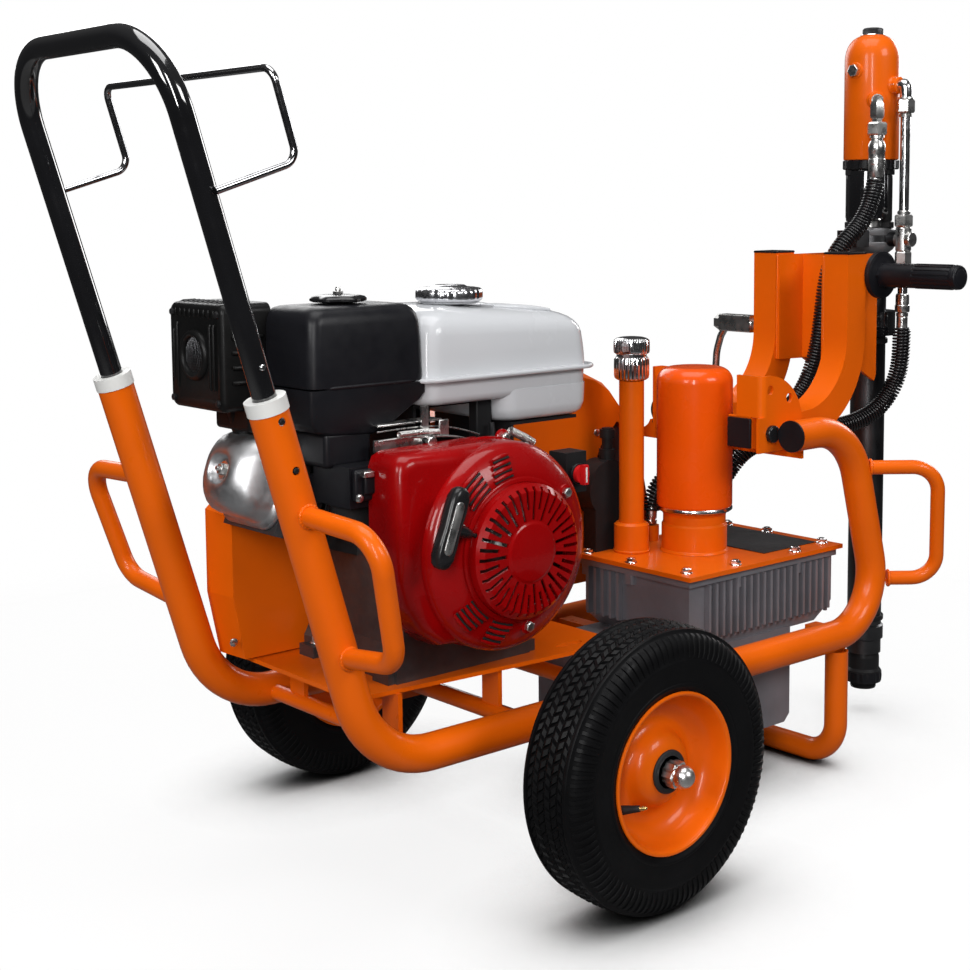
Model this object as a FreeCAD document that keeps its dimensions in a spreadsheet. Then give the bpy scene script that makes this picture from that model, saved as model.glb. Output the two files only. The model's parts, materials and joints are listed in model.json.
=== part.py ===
import FreeCAD, Part
import math
import os

V = FreeCAD.Vector
os.makedirs("parts", exist_ok=True)
doc = FreeCAD.newDocument("line_striping_machine")
sheet = doc.addObject("Spreadsheet::Sheet", "sizes")

# Driving dimensions, millimetres.  X runs forward from the push handle to the
# paint pump, Y to the left, Z up.  Positions are measured from the wheel axle.
CELLS = [
    ("origin_shift", 141.45, "axle to the middle of the overall length"),
    ("tube_od", 42.0, "side tube outside diameter"),
    ("tube_wall", 2.5, "side tube wall"),
    ("half_width", 162.0, "side tube centre to the middle plane"),
    ("rail_height", 190.0, "lower rails above the floor"),
    ("top_height", 482.0, "front stub tubes above the floor"),
    ("collar_x", -408.4, "top of the upright"),
    ("collar_z", 604.8, "top of the upright"),
    ("rear_bend_x", -282.0, "rear lower corner"),
    ("front_bend_x", 629.0, "front lower corner"),
    ("upper_bend_x", 548.6, "front upper corner"),
    ("stub_end_x", 425.2, "capped end of the right stub"),
    ("far_stub_end_x", 503.0, "capped end of the left stub"),
    ("far_stub_y", 150.0, "left stub side offset"),
    ("handle_od", 25.4, "push handle tube"),
    ("handle_rise", 377.0, "crossbar beyond the collars, along the leg"),
    ("rack_od", 8.0, "hose rack rod"),
    ("loop_od", 22.0, "grab loop tube"),
    ("stand_od", 32.0, "front stand tube"),
    ("stand_x", 528.0, "front stand position"),
    ("plate_top", 250.0, "engine plate top face"),
    ("plate_thick", 5.0, "engine plate"),
    ("wheel_radius", 165.0, "tyre outside radius"),
    ("track", 610.0, "wheel centre to wheel centre"),
    ("tyre_width", 90.0, "tyre section width"),
    ("axle_radius", 10.0, "axle bar"),
    ("hub_bore", 10.05, "wheel bore, running fit on the axle"),
    ("rim_flange", 90.5, "rim flange radius"),
    ("crank_x", -80.0, "crankshaft axis"),
    ("crank_z", 404.0, "crankshaft axis"),
    ("shaft_radius", 12.7, "output shaft"),
    ("blower_radius", 121.0, "blower housing"),
    ("pump_axis_x", 310.0, "hydraulic pump shaft"),
    ("pump_axis_z", 396.0, "hydraulic pump shaft"),
    ("engine_pulley_radius", 60.0, "engine pulley"),
    ("pump_pulley_radius", 95.0, "pump pulley"),
    ("lid_x", 260.0, "reservoir lid rear edge"),
    ("lid_length", 321.0, "reservoir lid"),
    ("lid_y", -130.0, "reservoir lid right edge"),
    ("lid_width", 222.0, "reservoir lid"),
    ("lid_top", 308.0, "reservoir lid top face"),
    ("lid_thick", 6.0, "reservoir lid"),
    ("right_leg_end", 400.0, "open end of the right yoke leg"),
    ("left_leg_end", 474.0, "open end of the left yoke leg"),
    ("filter_x", 398.0, "filter axis"),
    ("filter_y", -11.0, "filter axis"),
    ("filter_radius", 53.0, "filter canister"),
    ("filter_top", 569.0, "filter canister top"),
    ("filter_bottom", 372.0, "filter canister bottom"),
    ("fill_x", 326.0, "filler tube axis"),
    ("fill_y", 42.0, "filler tube axis"),
    ("fill_radius", 17.5, "filler tube"),
    ("fill_top", 550.0, "filler tube top"),
    ("pivot_x", 418.5, "yoke pivot"),
    ("pivot_z", 483.0, "yoke pivot"),
    ("pin_radius", 8.0, "pivot pin"),
    ("arm_width", 42.0, "yoke arm, across"),
    ("arm_depth", 42.0, "yoke arm, front to back"),
    ("arm_bend", 118.0, "yoke arm bend centre line radius"),
    ("arm_x", 627.0, "yoke arm upright centre line"),
    ("arm_top", 720.0, "yoke arm top"),
    ("arm_right_y", -92.5, "right arm centre"),
    ("arm_left_y", 38.5, "left arm centre"),
    ("line_x", 772.0, "paint pump axis"),
    ("line_y", -28.0, "paint pump axis"),
    ("motor_radius", 41.0, "hydraulic motor cylinder"),
    ("motor_top", 1044.0, "hydraulic motor dome top"),
    ("motor_bottom", 857.0, "hydraulic motor lower end"),
    ("rod_radius", 9.0, "piston rod"),
    ("fluid_radius", 26.0, "fluid section"),
    ("hose_od", 18.0, "hydraulic hose with its guard"),
]
for row, (alias, value, note) in enumerate(CELLS, 1):
    sheet.set("A%d" % row, alias)
    sheet.set("B%d" % row, repr(value))
    sheet.set("C%d" % row, note)
    sheet.setAlias("B%d" % row, alias)
doc.recompute()
C = {alias: float(sheet.get(alias)) for alias, _, _ in CELLS}
NODES = []


def place(obj, label):
    """Name a finished sub-part and move it from axle-based to centred X."""
    obj.Label = label
    obj.Placement = FreeCAD.Placement(V(-C["origin_shift"], 0, 0), FreeCAD.Rotation())
    obj.setExpression("Placement.Base.x", "-sizes.origin_shift")
    NODES.append(obj)
    return obj


def feature(label, shape):
    obj = doc.addObject("Part::Feature", label)
    obj.Shape = shape
    return place(obj, label)


# ---------------------------------------------------------------- primitives
COUNT = [0]


def uid(word):
    COUNT[0] += 1
    return "%s_%03d" % (word, COUNT[0])


def bind(obj, props, exprs):
    for prop, value in props.items():
        setattr(obj, prop, value)
    for prop, text in (exprs or {}).items():
        obj.setExpression(prop, text)
    return obj


def box(lo, hi, exprs=None):
    o = doc.addObject("Part::Box", uid("block"))
    o.Placement.Base = V(*lo)
    return bind(o, {"Length": hi[0] - lo[0], "Width": hi[1] - lo[1], "Height": hi[2] - lo[2]}, exprs)


def cyl(base, axis, r, length, exprs=None):
    o = doc.addObject("Part::Cylinder", uid("round"))
    o.Placement = FreeCAD.Placement(V(*base), FreeCAD.Rotation(V(0, 0, 1), V(*axis)))
    return bind(o, {"Radius": r, "Height": length}, exprs)


def cone(base, axis, r1, r2, length, exprs=None):
    o = doc.addObject("Part::Cone", uid("taper"))
    o.Placement = FreeCAD.Placement(V(*base), FreeCAD.Rotation(V(0, 0, 1), V(*axis)))
    return bind(o, {"Radius1": r1, "Radius2": r2, "Height": length}, exprs)


def fuse(*parts):
    o = doc.addObject("Part::MultiFuse", uid("joined"))
    o.Shapes = list(parts)
    return o


def cut(a, b):
    o = doc.addObject("Part::Cut", uid("relief"))
    o.Base, o.Tool = a, b
    return o


def fillet(base, radius, pick):
    """Round the edges of base that pick(edge) accepts."""
    doc.recompute()
    o = doc.addObject("Part::Fillet", uid("rounded"))
    o.Base = base
    o.Edges = [(i, radius, radius) for i, e in enumerate(base.Shape.Edges, 1) if pick(e)]
    return o


def vertical(e):
    a, b = e.Vertexes[0].Point, e.Vertexes[-1].Point
    return len(e.Vertexes) == 2 and abs(a.x - b.x) < 1e-6 and abs(a.y - b.y) < 1e-6


# ------------------------------------------------------------ sketched bodies
def origin_plane(body, role):
    return [f for f in body.Origin.OriginFeatures if f.Role == role][0]


def sketch(body, name, role, offset=V(0, 0, 0), rot=FreeCAD.Rotation()):
    s = body.newObject("Sketcher::SketchObject", name)
    s.AttachmentSupport = [(origin_plane(body, role), "")]
    s.MapMode = "FlatFace"
    s.AttachmentOffset = FreeCAD.Placement(offset, rot)
    return s


def value_of(term):
    if isinstance(term, str):
        return sum_of_terms(term)
    return float(term)


def sum_of_terms(text):
    """Value of a sheet expression written as a sum of products."""
    total = 0.0
    for piece in text.replace("-", "+-").split("+"):
        piece = piece.strip()
        if not piece:
            continue
        sign = -1.0 if piece.startswith("-") else 1.0
        product = sign
        for factor in piece.lstrip("-").split("*"):
            factor = factor.strip()
            if "/" in factor:
                top, bottom = factor.split("/")
                product *= term_value(top) / term_value(bottom)
            else:
                product *= term_value(factor)
        total += product
    return total


def term_value(word):
    word = word.strip()
    return C[word[6:]] if word.startswith("sizes.") else float(word)


def outline(sk, points):
    """Closed outline.  A point is (x, y) or (x, y, bulge) where bulge is a
    middle point of an arc that leads to the next point; x and y are numbers or
    sheet expressions, and every one given as an expression is bound."""
    pts = [V(value_of(p[0]), value_of(p[1]), 0) for p in points]
    ids = []
    for i, p in enumerate(points):
        a, b = pts[i], pts[(i + 1) % len(pts)]
        if len(p) > 2 and p[2] is not None:
            m = V(p[2][0], p[2][1], 0)
            first, last = (a, b) if (m - a).cross(b - m).z > 0 else (b, a)
            ids.append(sk.addGeometry(Part.Arc(first, m, last), False))
        else:
            ids.append(sk.addGeometry(Part.LineSegment(a, b), False))
    ends = []
    for k, i in enumerate(ids):
        g = sk.Geometry[i]
        start_is_first = (g.StartPoint - pts[k]).Length < 1e-6
        ends.append((1, 2) if start_is_first else (2, 1))
    for k in range(len(ids)):
        n = (k + 1) % len(ids)
        sk.addConstraint(Sketcher.Constraint("Coincident", ids[k], ends[k][1], ids[n], ends[n][0]))
    for k, p in enumerate(points):
        for axis, kind in ((0, "DistanceX"), (1, "DistanceY")):
            if abs((pts[k].x, pts[k].y)[axis]) < 1e-9:
                continue
            c = sk.addConstraint(Sketcher.Constraint(kind, -1, 1, ids[k], ends[k][0], (pts[k].x, pts[k].y)[axis]))
            if isinstance(p[axis], str):
                sk.setExpression("Constraints[%d]" % c, p[axis])
    return ids


def round_hole(sk, x, y, r):
    c = sk.addGeometry(Part.Circle(V(value_of(x), value_of(y), 0), V(0, 0, 1), value_of(r)), False)
    k = sk.addConstraint(Sketcher.Constraint("Radius", c, value_of(r)))
    if isinstance(r, str):
        sk.setExpression("Constraints[%d]" % k, r)
    for kind, v in (("DistanceX", x), ("DistanceY", y)):
        if abs(value_of(v)) > 1e-9:
            k = sk.addConstraint(Sketcher.Constraint(kind, -1, 1, c, 3, value_of(v)))
            if isinstance(v, str):
                sk.setExpression("Constraints[%d]" % k, v)
    return c


import Sketcher


def new_body(name):
    return doc.addObject("PartDesign::Body", name)


def turned(name, role, offset, loops, axis="V_Axis"):
    """A body turned about an axis of its sketch."""
    b = new_body(name)
    s = sketch(b, name + "_section", role, offset)
    for loop in loops:
        outline(s, loop)
    r = b.newObject("PartDesign::Revolution", name + "_turn")
    r.Profile = s
    r.ReferenceAxis = (s, [axis])
    r.Angle = 360.0
    b.Tip = r
    return b


def padded(name, role, offset, loops, depth, holes=(), reverse=False, depth_expr=None, mid=False):
    b = new_body(name)
    s = sketch(b, name + "_outline", role, offset)
    for loop in loops:
        outline(s, loop)
    for h in holes:
        round_hole(s, *h)
    p = b.newObject("PartDesign::Pad", name + "_pad")
    p.Profile = s
    p.Length = depth
    p.Reversed = reverse
    p.Midplane = mid
    if depth_expr:
        p.setExpression("Length", depth_expr)
    b.Tip = p
    return b


def pocket(b, name, role, offset, loops, depth, holes=(), reverse=False):
    s = sketch(b, name + "_sketch", role, offset)
    for loop in loops:
        outline(s, loop)
    for h in holes:
        round_hole(s, *h)
    doc.recompute()
    before = b.Shape.Volume
    p = b.newObject("PartDesign::Pocket", name)
    p.Profile = s
    p.Length = depth
    p.Reversed = reverse
    b.Tip = p
    doc.recompute()
    if b.Shape.Volume > before - 1.0:
        raise RuntimeError("pocket %s cut nothing" % name)
    return p


# ----------------------------------------------------------------- bent tubes
def bent_path(points, radii):
    """Straight runs joined by tangent arcs; radii belong to the inner points."""
    pts = [V(*p) for p in points]
    edges, here = [], pts[0]
    for i in range(1, len(pts) - 1):
        a = (pts[i - 1] - pts[i]).normalize()
        b = (pts[i + 1] - pts[i]).normalize()
        turn = math.pi - a.getAngle(b)
        t = radii[i - 1] * math.tan(turn / 2)
        p, q = pts[i] + a * t, pts[i] + b * t
        mid_dir = (a + b).normalize()
        centre = pts[i] + mid_dir * (radii[i - 1] / math.cos(turn / 2))
        m = centre - mid_dir * radii[i - 1]
        if (p - here).Length > 1e-4:
            edges.append(Part.LineSegment(here, p).toShape())
        edges.append(Part.Arc(p, m, q).toShape())
        here = q
    edges.append(Part.LineSegment(here, pts[-1]).toShape())
    return Part.Wire(edges)


def sweep(points, radii, r):
    path = bent_path(points, radii)
    d = (V(*points[1]) - V(*points[0])).normalize()
    ring = Part.Wire([Part.makeCircle(r, V(*points[0]), d)])
    solid = path.makePipeShell([ring], True, False)
    if solid.Volume < 0:
        solid.reverse()
    return solid


def hollow(points, radii, r, wall):
    return sweep(points, radii, r).cut(sweep(points, radii, r - wall))


def mirrored(shape):
    return shape.mirror(V(0, 0, 0), V(0, 1, 0))


# ================================================================= the frame
W, R_T = C["half_width"], C["tube_od"] / 2
A = V(C["collar_x"], 0, C["collar_z"])
B = V(C["rear_bend_x"], 0, C["rail_height"])
LEG = (A - B).normalize()
FWD = V(LEG.z, 0, -LEG.x)
top = A - LEG * 15
side = [
    (top.x, -W, top.z),
    (B.x, -W, B.z),
    (C["front_bend_x"], -W, C["rail_height"]),
    (C["upper_bend_x"], -W, C["top_height"]),
    (C["stub_end_x"], -W, C["top_height"]),
]
axle_bore = Part.makeCylinder(C["axle_radius"] + 0.5, 2 * W + 90, V(0, -W - 45, C["wheel_radius"]), V(0, 1, 0))
side_right = hollow(side, [110, 80, 95], R_T, C["tube_wall"]).cut(axle_bore)
for k in (24, 78):
    p = A - LEG * k
    side_right = side_right.cut(Part.makeCylinder(4.5, 8, V(p.x, -W - 24, p.z), V(0, 1, 0)))
feature("side_tube_right", side_right)

far = [
    (top.x, W, top.z),
    (B.x, W, B.z),
    (C["front_bend_x"], W, C["rail_height"]),
    (C["upper_bend_x"], C["far_stub_y"], C["top_height"]),
    (C["far_stub_end_x"], C["far_stub_y"], C["top_height"]),
]
side_left = hollow(far, [110, 80, 58], R_T, C["tube_wall"]).cut(axle_bore)
for k in (24, 78):
    p = A - LEG * k
    side_left = side_left.cut(Part.makeCylinder(4.5, 8, V(p.x, W + 24, p.z), V(0, -1, 0)))
feature("side_tube_left", side_left)

# white collars in the open tops of the uprights
collars = []
for s in (-1, 1):
    base = V(top.x, s * W, top.z)
    ring = Part.makeCylinder(R_T + 1.2, 14.8, base + LEG * 0.2, LEG)
    ring = ring.fuse(Part.makeCylinder(R_T - C["tube_wall"] - 0.3, 41, base - LEG * 40, LEG))
    collars.append(ring.cut(Part.makeCylinder(C["handle_od"] / 2 + 0.35, 80, base - LEG * 50, LEG)))
feature("handle_collars", Part.makeCompound(collars))

# plugs in the stub ends
plugs = []
for y, x in ((-W, C["stub_end_x"]), (C["far_stub_y"], C["far_stub_end_x"])):
    plug = Part.makeCylinder(R_T + 0.6, 3, V(x - 3.1, y, C["top_height"]), V(1, 0, 0))
    plug = plug.fuse(Part.makeCylinder(R_T - C["tube_wall"] - 1.5, 8, V(x - 0.1, y, C["top_height"]), V(1, 0, 0)))
    plugs.append(plug)
feature("tube_end_plugs", Part.makeCompound(plugs))

# cross members with ribs that carry the engine plate and the reservoir
members = []
for x in (-205.0, -55.0, 110.0):
    m = Part.makeCylinder(10, 2 * (W - R_T) - 1, V(x, -(W - R_T) + 0.5, C["rail_height"]), V(0, 1, 0))
    for y in (-98, 92):
        m = m.fuse(Part.makeBox(6, 30, C["plate_top"] - C["plate_thick"] - C["rail_height"], V(x - 3, y - 15, C["rail_height"])))
    members.append(m)
members.append(Part.makeBox(25, 2 * (W - R_T) - 1, 8, V(512.5, -(W - R_T) + 0.5, C["rail_height"] + 2)).cut(Part.makeBox(80, 198, 40, V(470, -118, 180))))
members += members.pop().Solids
for y0, y1 in ((-(W - R_T) + 0.5, -118), (80, W - R_T - 0.5)):
    members.append(Part.makeBox(25, y1 - y0, 8, V(277.5, y0, C["rail_height"] + 2)))

# engine plate with a turned-up rear lip, slots for the belt tension
EP = [(-262, -104), (130, -134), (130, 134), (-258, 134)]
plate = padded("engine_plate_body", "XY_Plane", V(0, 0, C["plate_top"] - C["plate_thick"]), [EP], C["plate_thick"],
               depth_expr="sizes.plate_thick")
slots = []
for cx, cy in ((-150, -88), (-20, -88), (-150, 70), (-20, 70), (70, -100), (70, 40)):
    slots.append([(cx - 16, cy - 5), (cx + 16, cy - 5, (cx + 21, cy)), (cx + 16, cy + 5), (cx - 16, cy + 5, (cx - 21, cy))])
pocket(plate, "tension_slots", "XY_Plane", V(0, 0, C["plate_top"] + 1), slots, 12)
place(plate, "engine_plate")

# front stand: a U of tube under the rails
st = C["stand_od"] / 2
sx = C["stand_x"]
stand_path = [(sx, -W, C["rail_height"] - R_T - 0.2), (sx, -W, st), (sx, W, st), (sx, W, C["rail_height"] - R_T - 0.2)]
stand = hollow(stand_path, [48, 48], st, 2.5)
feature("front_stand", stand)

# grab loops
lr = C["loop_od"] / 2
rear_loop = sweep([(-371, -W - 14, 481), (-371, -300, 476), (-333, -276, 338), (-323, -W - 14, 323)], [34, 34], lr)
rear_loop = rear_loop.cut(Part.makeCylinder(R_T + 0.15, 400, V(B.x, -W, B.z) + LEG * 60, LEG))

up_dir = (V(C["upper_bend_x"], 0, C["top_height"]) - V(C["front_bend_x"], 0, C["rail_height"])).normalize()
front_foot = V(C["front_bend_x"], -W, C["rail_height"])


def on_front(z):
    p = V(C["front_bend_x"], -W, C["rail_height"])
    return p + up_dir * ((z - p.z) / up_dir.z)


u = V(math.cos(math.radians(40)), -math.sin(math.radians(40)), 0)
p0, p3 = on_front(424), on_front(259)
q0, q3 = p0 + u * 12, p3 + u * 12
p1, p2 = p0 + u * 117, p3 + u * 90
front_loop = sweep([tuple(q0), tuple(p1), tuple(p2), tuple(q3)], [38, 34], lr - 1)
bar = Part.makeCylinder(R_T + 0.15, 400, front_foot - up_dir * 40, up_dir)
front_loop = front_loop.cut(bar)
left_loop = sweep([(q0.x, -q0.y - 9.5, q0.z), (p1.x, -p1.y - 6, p1.z), (p2.x, -p2.y - 2, p2.z), (q3.x, -q3.y - 2.8, q3.z)], [38, 34], lr - 1)
bar_left = Part.makeCylinder(R_T + 0.15, 400, V(C["front_bend_x"], W, C["rail_height"]),
                             (V(C["upper_bend_x"], C["far_stub_y"], C["top_height"]) - V(C["front_bend_x"], W, C["rail_height"])).normalize())
left_loop = left_loop.cut(bar_left)
loops = [rear_loop, mirrored(rear_loop), front_loop, left_loop]
feature("grab_loops", Part.makeCompound([max(q.Solids, key=lambda s: s.Volume) for q in loops]))

# axle with its dome nuts and washers, and saddles that hold it to the rails
hw = C["track"] / 2
zc = C["wheel_radius"]
axle = Part.makeCylinder(C["axle_radius"], 2 * hw + 82, V(0, -hw - 41, zc), V(0, 1, 0))
nuts = []
for s in (-1, 1):
    y = s * (hw + 33.3)
    hexagon = Part.Face(Part.makePolygon([V(15 * math.cos(a), y, zc + 15 * math.sin(a)) for a in [math.radians(60 * i + 30) for i in range(7)]]))
    n = hexagon.extrude(V(0, s * 16, 0))
    n = n.fuse(Part.makeCylinder(19, 2.5, V(0, y - s * 2.5, zc), V(0, s, 0)))
    dome = Part.makeSphere(13, V(0, y + s * 20, zc))
    n = n.fuse(dome).fuse(Part.makeCylinder(13, 5, V(0, y + s * 15, zc), V(0, s, 0)))
    nuts.append(n.cut(Part.makeCylinder(C["axle_radius"] + 0.05, 60, V(0, y - s * 50, zc), V(0, s, 0))))
    nuts[-1] = nuts[-1].cut(Part.makeCylinder(C["axle_radius"] + 0.05, 9, V(0, y - s * 1, zc), V(0, s, 0)))
feature("axle", Part.makeCompound([axle] + nuts))
saddles = []
for s in (-1, 1):
    c = V(0, s * W, 0)
    blk = Part.makeBox(56, 40, 46, V(-28, s * W - 20, 139))
    blk = blk.cut(Part.makeCylinder(R_T + 0.1, 80, V(-40, s * W, C["rail_height"]), V(1, 0, 0)))
    blk = blk.cut(Part.makeCylinder(C["axle_radius"] + 0.05, 80, V(0, s * W - 40, zc), V(0, 1, 0)))
    collar = Part.makeCylinder(15, hw - W - 20 - 41.5, V(0, s * (W + 20.0), zc), V(0, s, 0)).cut(
        Part.makeCylinder(C["axle_radius"] + 0.05, 120, V(0, s * (W + 10), zc), V(0, s, 0)))
    saddles.append(blk)
    saddles.append(collar)
feature("cross_members", Part.makeCompound(members + saddles))

# ==================================================================== wheels
for name, s in (("right", -1), ("left", 1)):
    off = V(0, s * hw, zc)
    # sketch on XY: x is the radius, y is along the axle, outboard is s
    def o(v, s=s):
        return s * v
    rim_pts = [("sizes.hub_bore", o(-40)), (22, o(-40)), (22, o(-2)), (34, o(4)), (66, o(-4)), (73, o(-12)), (73, o(-37)), ("sizes.rim_flange", o(-41)),
               ("sizes.rim_flange", o(-38.2)), (81, o(-35)), (76.5, o(-28)), (76.5, o(28)), (81, o(35)), ("sizes.rim_flange", o(38.2)),
               ("sizes.rim_flange", o(41)), (78, o(37.5)), (73.5, o(30)), (70, o(10)), (44, o(15)), (36, o(26)), (22, o(30)), ("sizes.hub_bore", o(30))]
    rim = turned("rim_%s_body" % name, "XY_Plane", off, [rim_pts])
    place(rim, "rim_%s" % name)
    outer = [(80.6, o(-33.5)), (88, o(-37)), (100, o(-41)), (120, o(-44.5)), (140, o(-45)), (152, o(-43)), (160, o(-38)), (164, o(-28)),
             ("sizes.wheel_radius", o(-12)), ("sizes.wheel_radius", o(12)), (164, o(28)), (160, o(38)), (152, o(43)), (140, o(45)), (120, o(44.5)), (100, o(41)),
             (88, o(37)), (80.6, o(33.5)), (77.2, o(28)), (77.2, o(20)), (84, o(21)), (90, o(28)), (104, o(34)), (130, o(37)), (146, o(33)), (153, o(22)),
             (154, o(0)), (153, o(-22)), (146, o(-33)), (130, o(-37)), (104, o(-34)), (90, o(-28)), (84, o(-21)), (77.2, o(-20)), (77.2, o(-28))]
    tyre = turned("tyre_%s_body" % name, "XY_Plane", off, [outer])
    place(tyre, "tyre_%s" % name)

# ============================================================== push handle
rise = C["handle_rise"]
hr = C["handle_od"] / 2
ha = A - LEG * 75
hb = A + LEG * rise
u_path = [(ha.x, -W, ha.z), (hb.x, -W, hb.z), (hb.x, W, hb.z), (ha.x, W, ha.z)]
feature("handle_tube", hollow(u_path, [85, 85], hr, 2.0))
rr = C["rack_od"] / 2
b0 = A + LEG * 216.3
b1 = b0 + FWD * 104.8
b2 = b1 + LEG * 96.1
wr = W + 12.6
rack = sweep([(b0.x + FWD.x * 2, -wr - 4, b0.z + FWD.z * 2), (b1.x, -wr, b1.z), (b2.x, -wr, b2.z), (b2.x, wr, b2.z), (b1.x, wr, b1.z),
              (b0.x + FWD.x * 2, wr + 4, b0.z + FWD.z * 2)], [16, 16, 16, 16], rr)
for s in (-1, 1):
    rack = rack.cut(Part.makeCylinder(hr + 0.1, 60, V(b0.x, s * W, b0.z) - LEG * 30, LEG))
rack = max(rack.Solids, key=lambda q: q.Volume)
feature("hose_rack", rack)

# ============================================================= pivot bracket
PX, PZ = C["pivot_x"], C["pivot_z"]


def slab(points, y0, y1, holes=()):
    """Prism of an XZ outline; a point may carry the middle of an arc to the next."""
    edges = []
    for i, p in enumerate(points):
        a, q = V(p[0], y0, p[1]), points[(i + 1) % len(points)]
        b = V(q[0], y0, q[1])
        if len(p) > 2:
            edges.append(Part.Arc(a, V(p[2][0], y0, p[2][1]), b).toShape())
        else:
            edges.append(Part.LineSegment(a, b).toShape())
    solid = Part.Face(Part.Wire(edges)).extrude(V(0, y1 - y0, 0))
    for x, z, r in holes:
        solid = solid.cut(Part.makeCylinder(r, abs(y1 - y0) + 2, V(x, min(y0, y1) - 1, z), V(0, 1, 0)))
    return solid


def around(angle, r):
    return (PX + r * math.cos(math.radians(angle)), PZ + r * math.sin(math.radians(angle)))


top_rear = around(90, 79)
sector = [(393, 458.5), (393, 506), (408, 506), (408, top_rear[1]), top_rear + (around(56, 74),), around(16, 67.5), (477, 478), (460, 458.5)]
index_holes = [(PX, PZ, C["pin_radius"] + 0.1), around(51.3, 59.5) + (6.5,), around(92.7, 60) + (6.5,)]
near_plate = slab(sector, -132, -127, index_holes)
bend = Part.makeCylinder(10, top_rear[1] - 506, V(408, -122, 506)).cut(Part.makeCylinder(5, 80, V(408, -122, 500)))
bend = bend.common(Part.makeBox(10, 10, 80, V(398, -132, 500)))
flange = Part.makeBox(5, 34.5, top_rear[1] - 506, V(398, -122, 506))
far_plate = slab([(401, 458.5), (401, top_rear[1])] + sector[4:], 68, 73, index_holes)
# cross plate that joins both sector plates and is welded under the stub tubes
near_end, far_end = Part.makeBox(5, 27, 27.5, V(455, -154, 447.5)), Part.makeBox(5, 92, 27.5, V(455, 68, 447.5))
near_end = near_end.cut(Part.makeCylinder(R_T + 0.05, 300, V(330, -W, C["top_height"]), V(1, 0, 0)))
far_end = far_end.cut(Part.makeCylinder(R_T + 0.05, 300, V(330, C["far_stub_y"], C["top_height"]), V(1, 0, 0)))
bracket = near_plate.fuse([bend, flange, far_plate, Part.makeBox(5, 195, 12.5, V(455, -127, 447.5)), near_end, far_end]).removeSplitter()
feature("pivot_bracket", max(bracket.Solids, key=lambda q: q.Volume))


def round_bolt(y_head, y_nut, sense):
    """Button-head bolt along Y with a hexagon nut; sense points to the nut."""
    y = V(0, sense, 0)
    bolt = Part.makeCylinder(12, 6.9, V(PX, y_head, PZ), y)
    bolt = bolt.makeFillet(3, [e for e in bolt.Edges if abs(e.BoundBox.YMin - y_head) < 0.01 and e.BoundBox.YLength < 0.01])
    bolt = bolt.fuse(Part.makeCylinder(C["pin_radius"], abs(y_nut - y_head), V(PX, y_head, PZ), y))
    pts = [V(PX + 13 * math.cos(a), y_nut, PZ + 13 * math.sin(a)) for a in [math.radians(60 * i + 12) for i in range(7)]]
    return bolt.fuse(Part.Face(Part.makePolygon(pts)).extrude(y * 6))


feature("pivot_pin", Part.makeCompound([round_bolt(-139, -71, 1), round_bolt(52.3, 73.2, 1)]))

# ====================================================================== yoke
ax, half = C["arm_x"], C["arm_depth"] / 2
jx, jz = ax - C["arm_bend"], PZ + C["arm_bend"]


def j_outline(inset, top_z, end_x):
    ri, ro = C["arm_bend"] - half + inset, C["arm_bend"] + half - inset
    c = math.cos(math.radians(45))
    rear, front = "sizes.arm_x-0.5*sizes.arm_depth+%s" % inset, "sizes.arm_x+0.5*sizes.arm_depth-%s" % inset
    upper, lower = "sizes.pivot_z+0.5*sizes.arm_depth-%s" % inset, "sizes.pivot_z-0.5*sizes.arm_depth+%s" % inset
    return [(rear, top_z), (rear, jz, (jx + ri * c, jz - ri * c)), (jx, upper), (end_x, upper), (end_x, lower),
            (jx, lower, (jx + ro * c, jz - ro * c)), (front, jz), (front, top_z)]


arms = []
for name, y, end in (("right_arm", C["arm_right_y"], "sizes.right_leg_end"), ("left_arm", C["arm_left_y"], "sizes.left_leg_end")):
    hw_a = C["arm_width"] / 2
    arm = padded(name, "XZ_Plane", V(0, 0, -(y + hw_a)), [j_outline(0, "sizes.arm_top", end)], C["arm_width"],
                 depth_expr="sizes.arm_width")
    pocket(arm, name + "_hollow", "XZ_Plane", V(0, 0, -(y + hw_a - 3.2)), [j_outline(3.2, C["arm_top"] + 6, value_of(end) - 6)],
           C["arm_width"] - 6.4, reverse=True)
    arms.append(arm)
ear = doc.addObject("Part::Feature", "left_ear")
ear.Shape = slab([(412, PZ - 21), (492, PZ - 21), (500, PZ - 13), (500, PZ + 13), (492, PZ + 21), (412, PZ + 21), (400, PZ + 9), (400, PZ - 9)], 59.5, 65.5)
bore = cyl((PX, -116, PZ), (0, 1, 0), C["pin_radius"] + 0.06, 190, {"Radius": "sizes.pin_radius+0.06"})
place(cut(fuse(arms[0], arms[1], ear), bore), "yoke_arms")

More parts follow.
